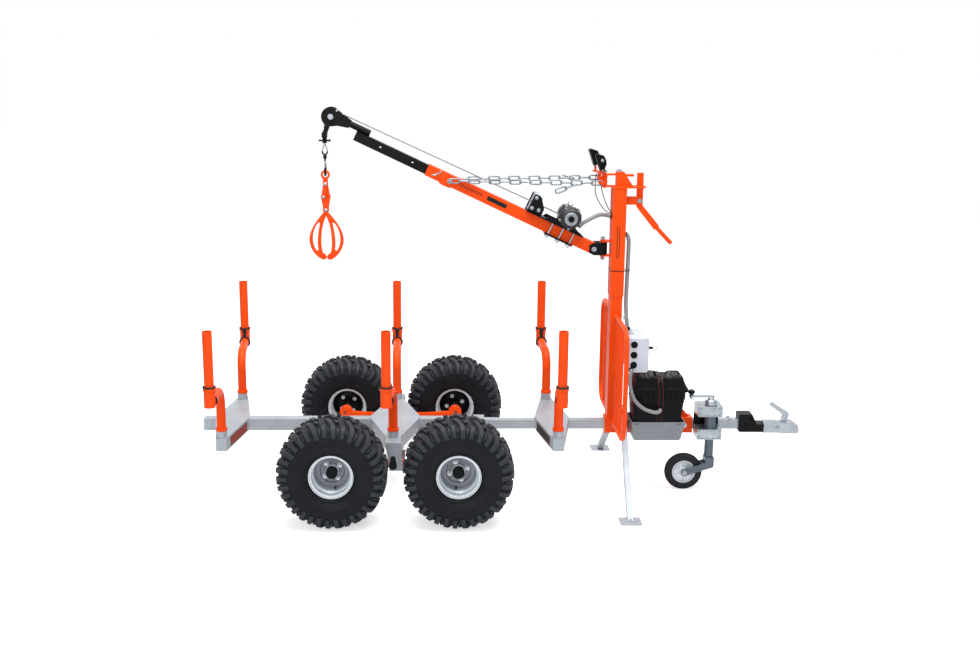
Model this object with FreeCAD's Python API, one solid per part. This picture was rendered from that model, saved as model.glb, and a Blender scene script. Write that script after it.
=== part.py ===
"""Log trailer with a hand-slewed loading crane, for towing behind a quad bike.

Millimetres. X runs forward to the coupling, Y to the trailer's left, Z up from the ground.
The origin is on the ground under the middle of the trailer's length.
"""
import FreeCAD
import Part
import math
import os

V = FreeCAD.Vector

# Running gear
track_width = 1200.0
wheelbase = 634.0
tyre_radius = 280.0
tyre_width = 270.0
rim_radius = 103.0
rim_width = 200.0
lug_pitches = 17
rim_facets = 24
bogie_x = -565.0
bogie_y = 415.0
pivot_height = 262.0
pivot_radius = 20.0
lug_width = 24.0
lug_slant = 22.0
lug_start = 6.0
running_gap = 0.05

# Chassis
beam_size = 64.0
beam_wall = 4.0
beam_top = 374.0
beam_rear_x = bogie_x - 1065.0
beam_joint_x = bogie_x + 470.0
drawbar_size = 50.0
drawbar_end_x = bogie_x + 1885.0
bunk_xs = (bogie_x - 909.0, bogie_x - 18.0, bogie_x + 840.0)
bunk_root_widths = (190.0, 280.0, 190.0)
bunk_reach = 385.0
bunk_end_width = 56.0
bunk_sheet = 5.0
spigot_y = 355.0
spigot_top = 420.0

# Stakes
stake_radius = 24.0
stake_wall = 3.0
socket_radius = 28.5
stake_y = 645.0
stake_turns = ((0.0, 4.0), (-4.5, 1.0), (-3.0, 2.0))
socket_bottom = 627.0
socket_top = 725.0
stake_top = 1010.0

# Mast and headboard
mast_x = 602.0
mast_length = 70.0
mast_depth = 104.0
mast_wall = 5.0
mast_foot_z = 412.0
mast_break_z = 1060.0
mast_top_z = 1636.0
sleeve_rear_x = bogie_x + 1127.0
sleeve_front_x = bogie_x + 1605.0
sleeve_size = 84.0
board_half_width = 445.0
board_bottom = 372.0
board_top = 955.0
board_tube = 12.5

# Crane
slew_x = bogie_x + 1090.0
slew_pin = 7.0
luff_pin = 9.0
luff_x = bogie_x + 1040.0
luff_z = 1314.0
boom_angle = 25.3
boom_size = 60.0
boom_wall = 4.5
boom_tip = 977.0
winch_s = 196.0
inner_size = 50.0
inner_wall = 4.0
inner_start = 640.0
inner_tip = 1389.0
sheave_s = 1543.0
sheave_h = 34.0
sheave_radius = 38.0
sheave_pin = 8.0
slide_back = 300.0
rope_radius = 3.0
rope_break_s = 1130.0
chain_y = 50.0
chain_links = 15
chain_wire = 8.0
chain_pin = 4.5
chain_top_x = slew_x - 24.0
chain_foot_s = 845.0
lug_z = 1674.0
lug_gap = 26.0
chain_step = 9.6
lever_pivot = (bogie_x + 1276.0, 1566.0)
lamp_z = 1722.0

# Grapple, hanging below the sheave
grapple_x = luff_x - 1415.5
tong_pivot_z = 1518.0
link_length = 70.0
link_spread = 12.0


def box(x0, x1, y0, y1, z0, z1):
    return Part.makeBox(x1 - x0, y1 - y0, z1 - z0, V(x0, y0, z0))


def rod(start, end, radius):
    axis = V(*end).sub(V(*start))
    return Part.makeCylinder(radius, axis.Length, V(*start), axis)


def pipe(start, end, radius, bore):
    return rod(start, end, radius).cut(rod(start, end, bore))


def polygon_wire(points):
    corners = [V(*p) for p in points]
    return Part.makePolygon(corners + corners[:1])


def side_plate(outline, y0, y1):
    """A plate cut to an X-Z outline, between two values of Y."""
    face = Part.Face(polygon_wire([(x, y0, z) for x, z in outline]))
    return face.extrude(V(0, y1 - y0, 0))


def flat_plate(outline, z0, z1):
    face = Part.Face(polygon_wire([(x, y, z0) for x, y in outline]))
    return face.extrude(V(0, 0, z1 - z0))


def cross_plate(outline, x0, x1):
    face = Part.Face(polygon_wire([(x0, y, z) for y, z in outline]))
    return face.extrude(V(x1 - x0, 0, 0))


def tapered(low, z0, high, z1):
    """A block whose rectangle (x0, x1, y0, y1) changes from one height to another."""
    wires = [polygon_wire([(x0, y0, z), (x1, y0, z), (x1, y1, z), (x0, y1, z)])
             for (x0, x1, y0, y1), z in ((low, z0), (high, z1))]
    return Part.makeLoft(wires, True, True)


def curved_plate(runs, y0, y1):
    """A plate whose X-Z edge is made of smooth runs, each a list of points; straight where it has two."""
    edges = []
    for run in runs:
        points = [V(x, y0, z) for x, z in run]
        if len(points) == 2:
            edges.append(Part.LineSegment(*points).toShape())
        else:
            curve = Part.BSplineCurve()
            curve.interpolate(points)
            edges.append(curve.toShape())
    return Part.Face(Part.Wire(edges)).extrude(V(0, y1 - y0, 0))


def bar(start, end, width, depth, wall=0.0):
    """A rectangular bar or tube, its width kept level across the way it runs."""
    start, end = V(*start), V(*end)
    along = end.sub(start)
    across = V(0, 1, 0) if abs(along.y) < 1e-6 else V(1, 0, 0)
    third = along.cross(across).normalize()
    across = third.cross(along).normalize()

    def section(w, d):
        half_w, half_d = across * (w / 2), third * (d / 2)
        corners = [start + half_w + half_d, start - half_w + half_d,
                   start - half_w - half_d, start + half_w - half_d]
        return Part.Face(Part.makePolygon(corners + corners[:1])).extrude(along)

    solid = section(width, depth)
    if wall:
        solid = solid.cut(section(width - 2 * wall, depth - 2 * wall))
    return solid


def bent_path(points, radius):
    """Straight runs joined by tangent arcs of one radius."""
    points = [V(*p) for p in points]
    edges = []
    last = points[0]
    for before, corner, after in zip(points, points[1:], points[2:]):
        back = before.sub(corner).normalize()
        ahead = after.sub(corner).normalize()
        half = back.getAngle(ahead) / 2
        reach = radius / math.tan(half)
        first, second = corner + back * reach, corner + ahead * reach
        centre = corner + (back + ahead).normalize() * (radius / math.sin(half))
        middle = centre + (corner - centre).normalize() * radius
        edges += [Part.LineSegment(last, first).toShape(), Part.Arc(first, middle, second).toShape()]
        last = second
    edges.append(Part.LineSegment(last, points[-1]).toShape())
    return Part.Wire(edges)


def swept(points, bend, radius, bore=0.0):
    """A round bar or tube bent along a route."""
    path = bent_path(points, bend)
    start = V(*points[0])
    direction = V(*points[1]).sub(start)

    def sweep(r):
        return path.makePipe(Part.Face(Part.Wire(Part.Circle(start, direction, r).toShape())))

    solid = sweep(radius)
    return solid.cut(sweep(bore)) if bore else solid


def ring(profile, facets, centre):
    """A faceted ring about an axis along Y, from a closed list of (radius, y)."""
    cx, cy, cz = centre
    turns = [2 * math.pi * (i + 0.5) / facets for i in range(facets)]

    def at(point, turn):
        radius, y = point
        return V(cx + radius * math.sin(turn), cy + y, cz - radius * math.cos(turn))

    faces = []
    for a, b in zip(profile, profile[1:] + profile[:1]):
        for t, u in zip(turns, turns[1:] + turns[:1]):
            corners = [at(a, t), at(b, t), at(b, u), at(a, u)]
            faces.append(Part.Face(Part.makePolygon(corners + corners[:1])))
    shell = Part.makeShell(faces)
    shell.sewShape()
    solid = Part.makeSolid(shell)
    if solid.Volume < 0:
        solid.reverse()
    return solid


def mirrored(shape):
    return shape.mirror(V(0, 0, 0), V(0, 1, 0))


def one(shape):
    shape = shape.removeSplitter()
    return shape.Solids[0] if len(shape.Solids) == 1 else shape


def fused(*shapes):
    return one(shapes[0].fuse(list(shapes[1:])))


def beams():
    """The main box beam, and the drawbar that telescopes out of it."""
    half = beam_size / 2
    middle = beam_top - half
    main = bar((beam_rear_x, 0, middle), (beam_joint_x, 0, middle), beam_size, beam_size, beam_wall)
    collar = bar((beam_joint_x - 60, 0, middle), (beam_joint_x, 0, middle),
                 beam_size + 10, beam_size + 10, 5 + beam_wall)
    drawbar = bar((beam_joint_x - 250, 0, middle), (drawbar_end_x, 0, middle),
                  drawbar_size, drawbar_size, beam_wall)
    return {"main_beam": fused(main, collar), "drawbar": drawbar}


def bunk(x, width):
    """A folded cross-member that tapers to a spigot at each end."""
    half, end = width / 2, bunk_end_width / 2
    outline = [(x - half, 0), (x - end, bunk_reach), (x + end, bunk_reach), (x + half, 0),
               (x + end, -bunk_reach), (x - end, -bunk_reach)]
    inner = [(x - half + bunk_sheet, 0), (x - end + bunk_sheet, bunk_reach - bunk_sheet),
             (x + end - bunk_sheet, bunk_reach - bunk_sheet), (x + half - bunk_sheet, 0),
             (x + end - bunk_sheet, bunk_sheet - bunk_reach), (x - end + bunk_sheet, bunk_sheet - bunk_reach)]
    bottom = beam_top - beam_size
    shell = flat_plate(outline, bottom, beam_top + bunk_sheet)
    shell = shell.cut(flat_plate(inner, bottom - 1, beam_top))
    gap = beam_size / 2 + 0.5
    shell = shell.cut(box(x - width, x + width, -gap, gap, bottom - 1, beam_top + 0.5))
    solids = [shell]
    for side in (-1, 1):
        base = (x, side * spigot_y, bottom)
        solids.append(rod(base, (x, side * spigot_y, spigot_top), stake_radius - stake_wall - 0.3))
    return fused(*solids)


def stake(x, side, turn):
    """The bent lower arm with its socket, and the straight upper stake that stands in it."""
    y0, y1 = side * spigot_y, side * stake_y
    elbow_z = 640.0
    arm = swept([(x, y0, beam_top + bunk_sheet + 0.2), (x, y0, elbow_z), (x, y1 - side * 12, elbow_z + 12)],
                90.0, stake_radius)
    arm = arm.cut(rod((x, y0, 0), (x, y0, spigot_top + 1), stake_radius - stake_wall))
    collar = pipe((x, y0, beam_top + bunk_sheet + 0.2), (x, y0, beam_top + 40), stake_radius + 3,
                  stake_radius - stake_wall)
    socket = rod((x, y1, socket_bottom), (x, y1, socket_top), socket_radius)
    lip = rod((x, y1, socket_top - 8), (x, y1, socket_top), socket_radius + 3)
    arm = fused(arm, collar, socket, lip)
    arm = arm.cut(rod((x, y1, socket_bottom + 5), (x, y1, socket_top + 1), stake_radius + 0.5))
    upper = pipe((x, y1, socket_bottom + 5), (x, y1, stake_top), stake_radius, stake_radius - stake_wall)
    for piece in (arm, upper):
        piece.rotate(V(x, y0, 0), V(0, 0, 1), turn)
    return arm, upper


def bunks_and_stakes():
    bunks, arms, uppers = [], [], []
    for x, width, turns in zip(bunk_xs, bunk_root_widths, stake_turns):
        bunks.append(bunk(x, width))
        for side, turn in zip((-1, 1), turns):
            arm, upper = stake(x, side, turn)
            arms.append(arm)
            uppers.append(upper)
    return {"bunks": Part.makeCompound(bunks), "stake_arms": Part.makeCompound(arms),
            "stake_uppers": Part.makeCompound(uppers)}


def axle_beam():
    """Cross tube under the middle bunk, with the hanger plates and pins that the bogies rock on."""
    bottom = beam_top - beam_size
    tube = bar((bogie_x, -bunk_reach + 30, bottom - 32), (bogie_x, bunk_reach - 30, bottom - 32), 60, 60, 5)
    solids = [tube]
    for side in (-1, 1):
        y = side * (bunk_reach - 30)
        plate = [(bogie_x - 46, bottom - 1), (bogie_x + 46, bottom - 1), (bogie_x + 40, 218), (bogie_x - 40, 218)]
        solids.append(side_plate(plate, min(y, y + side * 8), max(y, y + side * 8)))
        solids.append(rod((bogie_x, side * (bunk_reach - 60), pivot_height),
                          (bogie_x, side * (bogie_y + 32), pivot_height), pivot_radius))
    return {"axle_beam": fused(*solids)}


def bogie(side):
    """A rocking beam on the pivot pin, with a stub axle at each end."""
    hub_z = tyre_radius
    half = wheelbase / 2
    outline = [(bogie_x - half - 34, hub_z - 22), (bogie_x - half - 20, hub_z + 38), (bogie_x - half + 30, hub_z + 38),
               (bogie_x - 60, hub_z + 8), (bogie_x + 60, hub_z + 8), (bogie_x + half - 30, hub_z + 38),
               (bogie_x + half + 20, hub_z + 38), (bogie_x + half + 34, hub_z - 22),
               (bogie_x + half, hub_z - 38), (bogie_x + 60, hub_z - 52), (bogie_x - 60, hub_z - 52),
               (bogie_x - half, hub_z - 38)]
    beam = side_plate(outline, side * bogie_y - 20, side * bogie_y + 20)
    beam = beam.cut(rod((bogie_x, side * (bogie_y - 50), pivot_height), (bogie_x, side * (bogie_y + 50), pivot_height),
                        pivot_radius + running_gap))
    solids = [beam]
    for x in (bogie_x - half, bogie_x + half):
        solids.append(rod((x, side * (bogie_y + 10), hub_z), (x, side * (track_width / 2 + 50), hub_z), 14.0))
    return fused(*solids)


def tyre():
    """A lugged tyre about the origin: a faceted carcass, with a slanting lug a side on each facet."""
    half = math.pi / lug_pitches
    shoulder = [(rim_radius + 1.9, 84.5), (rim_radius + 16.5, 98.0), (190.0, 131.0), (245.0, 124.0), (266.0, 80.0)]
    carcass = ring(shoulder + [(r, -y) for r, y in reversed(shoulder)], lug_pitches, (0, 0, 0))
    reach = lug_slant + lug_width / 2
    top = (tyre_radius - reach * math.sin(half)) / math.cos(half)
    outer = tyre_width / 2
    section = [(250.0, lug_start), (top, lug_start), (top - 1.5, 84.0), (255.0, outer), (245.0 * math.cos(half), 124.0),
               (240.0, 100.0)]

    def across(y):
        return lug_slant * (2 * (y - lug_start) / (outer - lug_start) - 1) - lug_width / 2

    wall = Part.Face(polygon_wire([(across(y), y, -n) for n, y in section]))
    lug = wall.extrude(V(lug_width, 0, 0))
    other = lug.copy()
    other.rotate(V(0, 0, 0), V(0, 0, 1), 180)
    lugs = []
    for i in range(lug_pitches):
        for piece in (lug, other):
            piece = piece.copy()
            piece.rotate(V(0, 0, 0), V(0, 1, 0), 360.0 * i / lug_pitches)
            lugs.append(piece)
    whole = fused(carcass, *lugs)
    whole.rotate(V(0, 0, 0), V(0, 1, 0), math.degrees(half))
    return whole


def rim(centre, side):
    """A pressed steel rim with its disc set near the outer face, bored for the stub axle."""
    x, y, z = centre
    w = rim_width / 2
    barrel = [(rim_radius, -w + 8), (rim_radius, w - 8), (rim_radius + 7, w - 4), (rim_radius + 7, w),
              (rim_radius - 5, w - 4), (rim_radius - 6, w - 40), (rim_radius - 14, w - 52), (rim_radius - 14, 52 - w),
              (rim_radius - 6, 40 - w), (rim_radius - 5, 4 - w), (rim_radius + 7, -w), (rim_radius + 7, 4 - w)]
    disc = [(15, 8), (50, 8), (62, 20), (rim_radius - 12, 22), (rim_radius - 12, 27), (60, 25), (48, 13), (15, 13)]
    barrel = ring(barrel, rim_facets, centre)
    disc = ring([(r, side * (y2 + 20)) for r, y2 in disc][::side], rim_facets, centre)
    hub = pipe((x, y - side * 50, z), (x, y + side * 44, z), 34, 14.0 + running_gap)
    cap = rod((x, y + side * 51, z), (x, y + side * 62, z), 24)
    nose = pipe((x, y + side * 40, z), (x, y + side * 52, z), 24, 17)
    return fused(barrel, disc, hub, nose, cap)


def running_gear():
    nodes = {}
    blank = tyre()
    for name, side in (("right", -1), ("left", 1)):
        nodes["bogie_" + name] = bogie(side)
        for place, x in (("rear", bogie_x - wheelbase / 2), ("front", bogie_x + wheelbase / 2)):
            centre = (x, side * track_width / 2, tyre_radius)
            nodes["tyre_%s_%s" % (place, name)] = blank.translated(V(*centre))
            nodes["rim_%s_%s" % (place, name)] = rim(centre, side)
    return nodes


leg_pivot = (bogie_x + 1213.0, 118.0, 405.0)
leg_foot_y = 585.0
leg_foot_x = bogie_x + 1193.0
leg_size = 30.0
foot_thick = 6.0


def mast():
    """Sleeve on the drawbar, lower mast with its brace, upper column and head."""
    middle = beam_top - beam_size / 2
    sleeve = bar((sleeve_rear_x, 0, middle), (sleeve_front_x, 0, middle), sleeve_size, sleeve_size,
                 (sleeve_size - drawbar_size) / 2 - 0.5)
    x0, x1 = mast_x - mast_length / 2, mast_x + mast_length / 2
    y = mast_depth / 2
    top = middle + sleeve_size / 2
    lower = box(x0 + 4, x1 - 4, -y + 4, y - 4, top - 1, mast_break_z)
    brace = bar((x1 - 10, 0, 800), (sleeve_front_x - 30, 0, top - 4), 30, 30)
    ears = []
    for side in (-1, 1):
        for x in (leg_pivot[0] - leg_size / 2 - 8, leg_pivot[0] + leg_size / 2 + 2):
            outline = [(side * 40, top - 60), (side * 40, top + 20), (side * 130, leg_pivot[2] + 20),
                       (side * 140, leg_pivot[2] - 6), (side * 112, leg_pivot[2] - 22)]
            ears.append(cross_plate(outline, x, x + 6))
        ears.append(rod((leg_pivot[0] - leg_size / 2 - 10, side * leg_pivot[1], leg_pivot[2]),
                        (leg_pivot[0] + leg_size / 2 + 9, side * leg_pivot[1], leg_pivot[2]), 6.0))
    base = fused(sleeve, lower, brace, *ears)
    column = box(x0, x1, -y, y, mast_break_z + 0.2, mast_top_z)
    lugs = []
    for z0 in (luff_z - 43.5, luff_z + 33.5):
        lugs.append(box(slew_x - 13, x0 + 5, -18, 18, z0, z0 + 10))
    pin = rod((slew_x, 0, luff_z - 50), (slew_x, 0, luff_z + 50), slew_pin)
    cheeks = [side_plate([(x1 - 1, 1546), (x1 - 1, 1588), (lever_pivot[0] + 16, 1588), (lever_pivot[0] + 16, 1546)],
                         side * 7.5 - 3, side * 7.5 + 3) for side in (-1, 1)]
    lever_pin = rod((lever_pivot[0], -16, lever_pivot[1]), (lever_pivot[0], 16, lever_pivot[1]), 6.0)
    column = fused(column, pin, lever_pin, *lugs, *cheeks)
    head = box(x0 - 4, x1 + 4, -y - 4, y + 4, mast_top_z + 0.2, mast_top_z + 8)
    web = side_plate([(x0 + 18, mast_top_z + 7), (x0 + 18, 1720), (x0 + 56, 1720), (x1 + 36, mast_top_z + 7)], -26, -20)
    shelf = flat_plate([(x0, -y), (x1 + 20, -y), (x1 + 101, -34), (x1 + 101, 34), (x1 + 20, y), (x0, y)],
                       mast_top_z + 0.2, mast_top_z + 8)
    slot = box(x1 + 46, x1 + 110, -9, 9, mast_top_z - 1, mast_top_z + 9)
    block = box(x0 + 18, x0 + 54, -20, 20, mast_top_z + 7, 1718)
    arms = [box(slew_x - 14, x0 + 20, -16, 16, z, z + 9) for z in (lug_z - lug_gap - 9, lug_z + lug_gap)]
    head_pin = rod((slew_x, 0, lug_z - lug_gap - 14), (slew_x, 0, lug_z + lug_gap + 16), slew_pin)
    lock_bolt = rod((x0 + 50, 0, 1700), (x1 + 40, 0, 1700), 7.0)
    head = fused(head.fuse(shelf).cut(slot), web, mirrored(web), block, head_pin, lock_bolt, *arms)
    return {"mast_base": base, "mast_column": column, "mast_head": head}


def headboard():
    """Two bent tube loops with upright bars, one each side of the mast."""
    halves = []
    inner_y = mast_depth / 2 - 3.8
    for side in (-1, 1):
        y0, y1 = side * inner_y, side * board_half_width
        loop = swept([(mast_x, y0, board_top), (mast_x, y1, board_top), (mast_x, y1, board_bottom),
                      (mast_x, y0, board_bottom)], 90.0, board_tube)
        bars = [rod((mast_x, side * y, board_bottom), (mast_x, side * y, board_top), 8.0)
                for y in (110, 175, 240, 305)]
        halves.append(fused(loop, *bars))
    return {"headboard": Part.makeCompound(halves)}


def leg(side):
    """A folding prop with its foot plate, swung down and out."""
    x, y, z = leg_pivot[0], side * leg_pivot[1], leg_pivot[2]
    foot_y = side * leg_foot_y
    tube = bar((x, y, z), (leg_foot_x, foot_y, foot_thick - 8), leg_size, leg_size)
    tube = tube.cut(box(x - 100, x + 100, -900, 900, -60, 0))
    boss = rod((x - leg_size / 2, y, z), (x + leg_size / 2, y, z), leg_size / 2)
    foot = box(leg_foot_x - 55, leg_foot_x + 55, foot_y - 50, foot_y + 50, 0, foot_thick)
    shape = fused(tube, boss, foot)
    return shape.cut(rod((x - 60, y, z), (x + 60, y, z), 6.0 + running_gap))


def equipment():
    """Control box on the mast, and the battery box in its tray."""
    x1 = mast_x + mast_length / 2
    control = box(x1 + 8, x1 + 112, -250, -20, 695, 882)
    control = control.makeFillet(10, [e for e in control.Edges if abs(e.tangentAt(0).y) > 0.9])
    tray_x0, tray_x1 = bogie_x + 1242, bogie_x + 1523
    top = beam_top - beam_size / 2 + sleeve_size / 2
    tray = side_plate([(tray_x0, 420), (tray_x0 + 9, 328), (tray_x0 + 16, 320), (tray_x1 - 28, 320),
                       (tray_x1 - 20, 328), (tray_x1, 420)], -235, -50)
    tray = tray.cut(side_plate([(tray_x0 + 3, 421), (tray_x0 + 12, 331), (tray_x0 + 18, 323), (tray_x1 - 30, 323),
                                (tray_x1 - 23, 331), (tray_x1 - 3, 421)], -232, -53))
    for x in (tray_x0 + 14, tray_x1 - 40):
        tray = tray.cut(box(x, x + 24, -240, -220, 408, 412))
    tub = tapered((tray_x0 + 19, tray_x1 - 31, -226, -59), 323.2, (tray_x0 + 2, tray_x1 - 2, -230, -55), 585)
    rim = (tray_x0 - 3, tray_x1 + 12, -238, -47)
    lid = fused(tapered(rim, 584, rim, 602), tapered((tray_x0, tray_x1 + 9, -235, -50), 601,
                                                     (tray_x0 + 23, tray_x1 - 17, -210, -75), 666))
    for x in (tray_x0 + 72, tray_x0 + 196):
        lid = lid.cut(side_plate([(x - 14, 608), (x - 12, 670), (x + 12, 670), (x + 14, 608)], -240, -205))
    battery = fused(tub, lid)
    return {"control_box": control, "battery_tray": tray, "battery_box": battery}


jockey_x = bogie_x + 1687.0
jockey_y = -100.0
jockey_radius = 102.0
jockey_offset = 134.0


def jockey():
    """Clamped jockey wheel: outer tube, sliding stem with its swivelling fork, and the wheel."""
    half = drawbar_size / 2
    middle = beam_top - beam_size / 2
    clamp = []
    for z0 in (292, 420):
        clamp.append(box(jockey_x - 74, jockey_x + 58, jockey_y - 34, -half - 0.3, z0, z0 + 56))
    backing = box(jockey_x - 74, jockey_x + 58, -half - 12, -half - 0.3, 292, 476)
    clamp = fused(*clamp, backing)
    clamp = clamp.cut(rod((jockey_x, jockey_y, 200), (jockey_x, jockey_y, 500), 30.2))
    outer = pipe((jockey_x, jockey_y, 285), (jockey_x, jockey_y, 480), 30.0, 24.3)
    cap = rod((jockey_x, jockey_y, 480), (jockey_x, jockey_y, 500), 32)
    neck = rod((jockey_x, jockey_y, 498), (jockey_x, jockey_y, 524), 12)
    crank = box(jockey_x - 118, jockey_x + 14, jockey_y - 12, jockey_y + 12, 520, 528)
    knob = rod((jockey_x - 108, jockey_y, 527), (jockey_x - 108, jockey_y, 562), 11)
    stem = rod((jockey_x, jockey_y, 186), (jockey_x, jockey_y, 380), 24.2)
    wheel_x = jockey_x - jockey_offset
    arms = []
    for side in (-1, 1):
        y = jockey_y + side * 33
        arms.append(bar((jockey_x + 18, y, 150), (wheel_x, y, jockey_radius), 6, 36))
        arms.append(rod((wheel_x, y - 3, jockey_radius), (wheel_x, y + 3, jockey_radius), 18))
    crown = box(jockey_x - 22, jockey_x + 24, jockey_y - 36, jockey_y + 36, 140, 188)
    crown = crown.cut(rod((wheel_x, jockey_y - 40, jockey_radius), (wheel_x, jockey_y + 40, jockey_radius),
                          jockey_radius + 8))
    axle = rod((wheel_x, jockey_y - 40, jockey_radius), (wheel_x, jockey_y + 40, jockey_radius), 6.0)
    fork = fused(stem, crown, axle, *arms)
    centre = (wheel_x, jockey_y, jockey_radius)
    tyre_profile = [(64, 18), (72, 22), (92, 20), (102, 8), (102, -8), (92, -20), (72, -22), (64, -18)]
    wheel_profile = [(6.12, 26), (18, 26), (20, 8), (55, 6), (59, 17), (62.8, 17), (62.8, -17), (59, -17), (55, -6),
                     (20, -8), (18, -26), (6.12, -26)]
    return {"jockey_clamp": clamp, "jockey_tube": fused(outer, cap, neck, crank, knob), "jockey_fork": fork,
            "jockey_tyre": ring(tyre_profile, 20, centre), "jockey_rim": ring(wheel_profile, 24, centre)}


def coupling():
    """Black adapter bolted to the drawbar, the pressed ball coupling and its latch handle."""
    x0 = drawbar_end_x
    adapter = side_plate([(x0 - 26, 402), (x0 + 46, 402), (x0 + 74, 346), (x0 + 112, 346), (x0 + 112, 302),
                          (x0 - 20, 302), (x0 - 26, 308)], -38, 38)
    adapter = adapter.cut(box(x0 - 40, x0 + 1, -half_drawbar(), half_drawbar(), 316.7, 367.3))
    nose_x = bogie_x + 2195.0
    outline = [(x0 + 112.3, 356), (nose_x - 130, 356), (nose_x - 104, 349), (nose_x - 76, 355), (nose_x - 30, 352),
               (nose_x - 8, 336), (nose_x, 312), (nose_x, 293), (x0 + 112.3, 293)]
    plan = [(x0 + 112.3, -24), (nose_x - 120, -24), (nose_x - 84, -37), (nose_x - 22, -37), (nose_x, -20),
            (nose_x, 20), (nose_x - 22, 37), (nose_x - 84, 37), (nose_x - 120, 24), (x0 + 112.3, 24)]
    head = side_plate(outline, -40, 40).common(flat_plate(plan, 280, 370))
    head = head.cut(Part.makeSphere(25.3, V(nose_x - 52, 0, 300)))
    head = head.cut(rod((nose_x - 52, 0, 290), (nose_x - 52, 0, 300), 25.3))
    handle = side_plate([(nose_x - 98, 345), (nose_x - 70, 345), (nose_x - 56, 392), (nose_x - 60, 404), (nose_x - 150, 462),
                         (nose_x - 164, 446), (nose_x - 90, 392)], -11, 11)
    return {"coupling_adapter": adapter, "coupling_head": fused(head, handle)}


def half_drawbar():
    return drawbar_size / 2 + 0.3


def on_boom(shape):
    """Turn a shape drawn along a level boom up to the boom's angle, about the luffing pin."""
    shape = shape.copy()
    shape.rotate(V(0, 0, 0), V(0, 1, 0), boom_angle)
    shape.translate(V(luff_x, 0, luff_z))
    return shape


def boom_point(s, h, y=0.0):
    """The place of a point s along the boom from the luffing pin and h above its middle line."""
    turn = math.radians(boom_angle)
    return (luff_x - s * math.cos(turn) + h * math.sin(turn), y,
            luff_z + s * math.sin(turn) + h * math.cos(turn))


def slewing():
    """Clevis block on the mast's lugs, and the swinging lug above it that holds the chains."""
    half = boom_size / 2
    cheeks = []
    for side in (-1, 1):
        y = side * (half + 3.5)
        cheeks.append(side_plate([(luff_x - 24, luff_z - 20), (luff_x - 24, luff_z + 20), (luff_x, luff_z + 33),
                                  (slew_x - 2, luff_z + 33), (slew_x - 2, luff_z - 33), (luff_x, luff_z - 33)],
                                 y - 3, y + 3))
    block = box(slew_x - 17, slew_x - 2, -half - 6, half + 6, luff_z - 33, luff_z + 33)
    boss = rod((slew_x, 0, luff_z - 33), (slew_x, 0, luff_z + 33), 24.0)
    bore = rod((slew_x, 0, luff_z - 80), (slew_x, 0, luff_z + 80), slew_pin + running_gap)
    pin = rod((luff_x, -half - 12, luff_z), (luff_x, half + 12, luff_z), luff_pin)
    bracket = fused(block, boss, *cheeks).cut(bore)
    bracket = fused(bracket, pin)
    lug = fused(*(box(slew_x - 34, slew_x - 6, min(0, side * (chain_y + 8)), max(0, side * (chain_y + 8)),
                      lug_z + side * chain_step - 6, lug_z + side * chain_step + 6) for side in (-1, 1)),
                box(slew_x - 34, slew_x - 6, -12, 12, lug_z - chain_step - 6, lug_z + chain_step + 6))
    boss = rod((slew_x, 0, lug_z - lug_gap + 0.5), (slew_x, 0, lug_z + lug_gap - 0.5), 14.0)
    pins = []
    for side in (-1, 1):
        z = lug_z + side * chain_step
        pins.append(rod((chain_top_x, side * (chain_y - 12), z), (chain_top_x, side * (chain_y + 12), z), chain_pin))
    lug = fused(lug, boss).cut(rod((slew_x, 0, lug_z - 40), (slew_x, 0, lug_z + 40), slew_pin + running_gap))
    for side in (-1, 1):
        y = side * chain_y
        lug = lug.cut(box(slew_x - 60, slew_x, y - 5.5, y + 5.5, lug_z - 40, lug_z + 40))
    lamps, lamp_bar = work_lights()
    return {"slew_bracket": bracket, "slew_lug": fused(lug, lamp_bar, *pins), "work_lights": lamps}


def boom():
    """Outer boom, the inner boom that slides in it with the sheave head, and the sheave."""
    half = boom_size / 2
    outer = box(-boom_tip, 12, -half, half, -half, half)
    outer = outer.cut(box(-boom_tip - 1, -40, -half + boom_wall, half - boom_wall, -half + boom_wall,
                          half - boom_wall))
    outer = outer.cut(rod((0, -60, 0), (0, 60, 0), luff_pin + running_gap))
    stub = rod((-chain_foot_s, -chain_y - 12, 0), (-chain_foot_s, -half + 1, 0), chain_pin)
    gusset = side_plate([(-902, -27), (-884, -37), (-838, -37), (-812, -27), (-812, 12), (-845, 14), (-902, -20)],
                        -half - 4, -half + 1)
    outer = fused(outer, stub, mirrored(stub), gusset, mirrored(gusset))
    inner_half = inner_size / 2
    inner = box(-inner_tip, -inner_start, -inner_half, inner_half, -inner_half, inner_half)
    inner = inner.cut(box(-inner_tip - 1, -inner_start + 1, -inner_half + inner_wall, inner_half - inner_wall,
                          -inner_half + inner_wall, inner_half - inner_wall))
    for s in (1060, 1245):
        inner = inner.cut(rod((-s, -60, 0), (-s, 60, 0), 6.0))
    neck = rod((-1322, 0, inner_half + 16.5), (-1460, 0, inner_half + 16.5), 17.0)
    cheeks = []
    for side in (-1, 1):
        neck_plate = side_plate([(-1436, 20), (-1436, 60), (-1521, sheave_h + 45), (-1521, sheave_h - 45), (-1492, 6)],
                                side * 17 - 3, side * 17 + 3)
        cheeks += [neck_plate, rod((-sheave_s, side * 17 - 3, sheave_h), (-sheave_s, side * 17 + 3, sheave_h), 50.0)]
    spacer = box(-1462, -1436, -16, 16, 24, 56)
    pin = rod((-sheave_s, -34, sheave_h), (-sheave_s, 34, sheave_h), sheave_pin)
    inner = fused(inner, neck, spacer, pin, *cheeks)
    r = sheave_radius
    groove = [(sheave_pin + 0.1, -10), (r, -10), (r - 6, 0), (r, 10), (sheave_pin + 0.1, 10)]
    sheave = ring(groove, 24, boom_point(sheave_s, sheave_h))
    return {"boom_outer": on_boom(outer), "boom_inner": on_boom(inner), "sheave": sheave}


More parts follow.
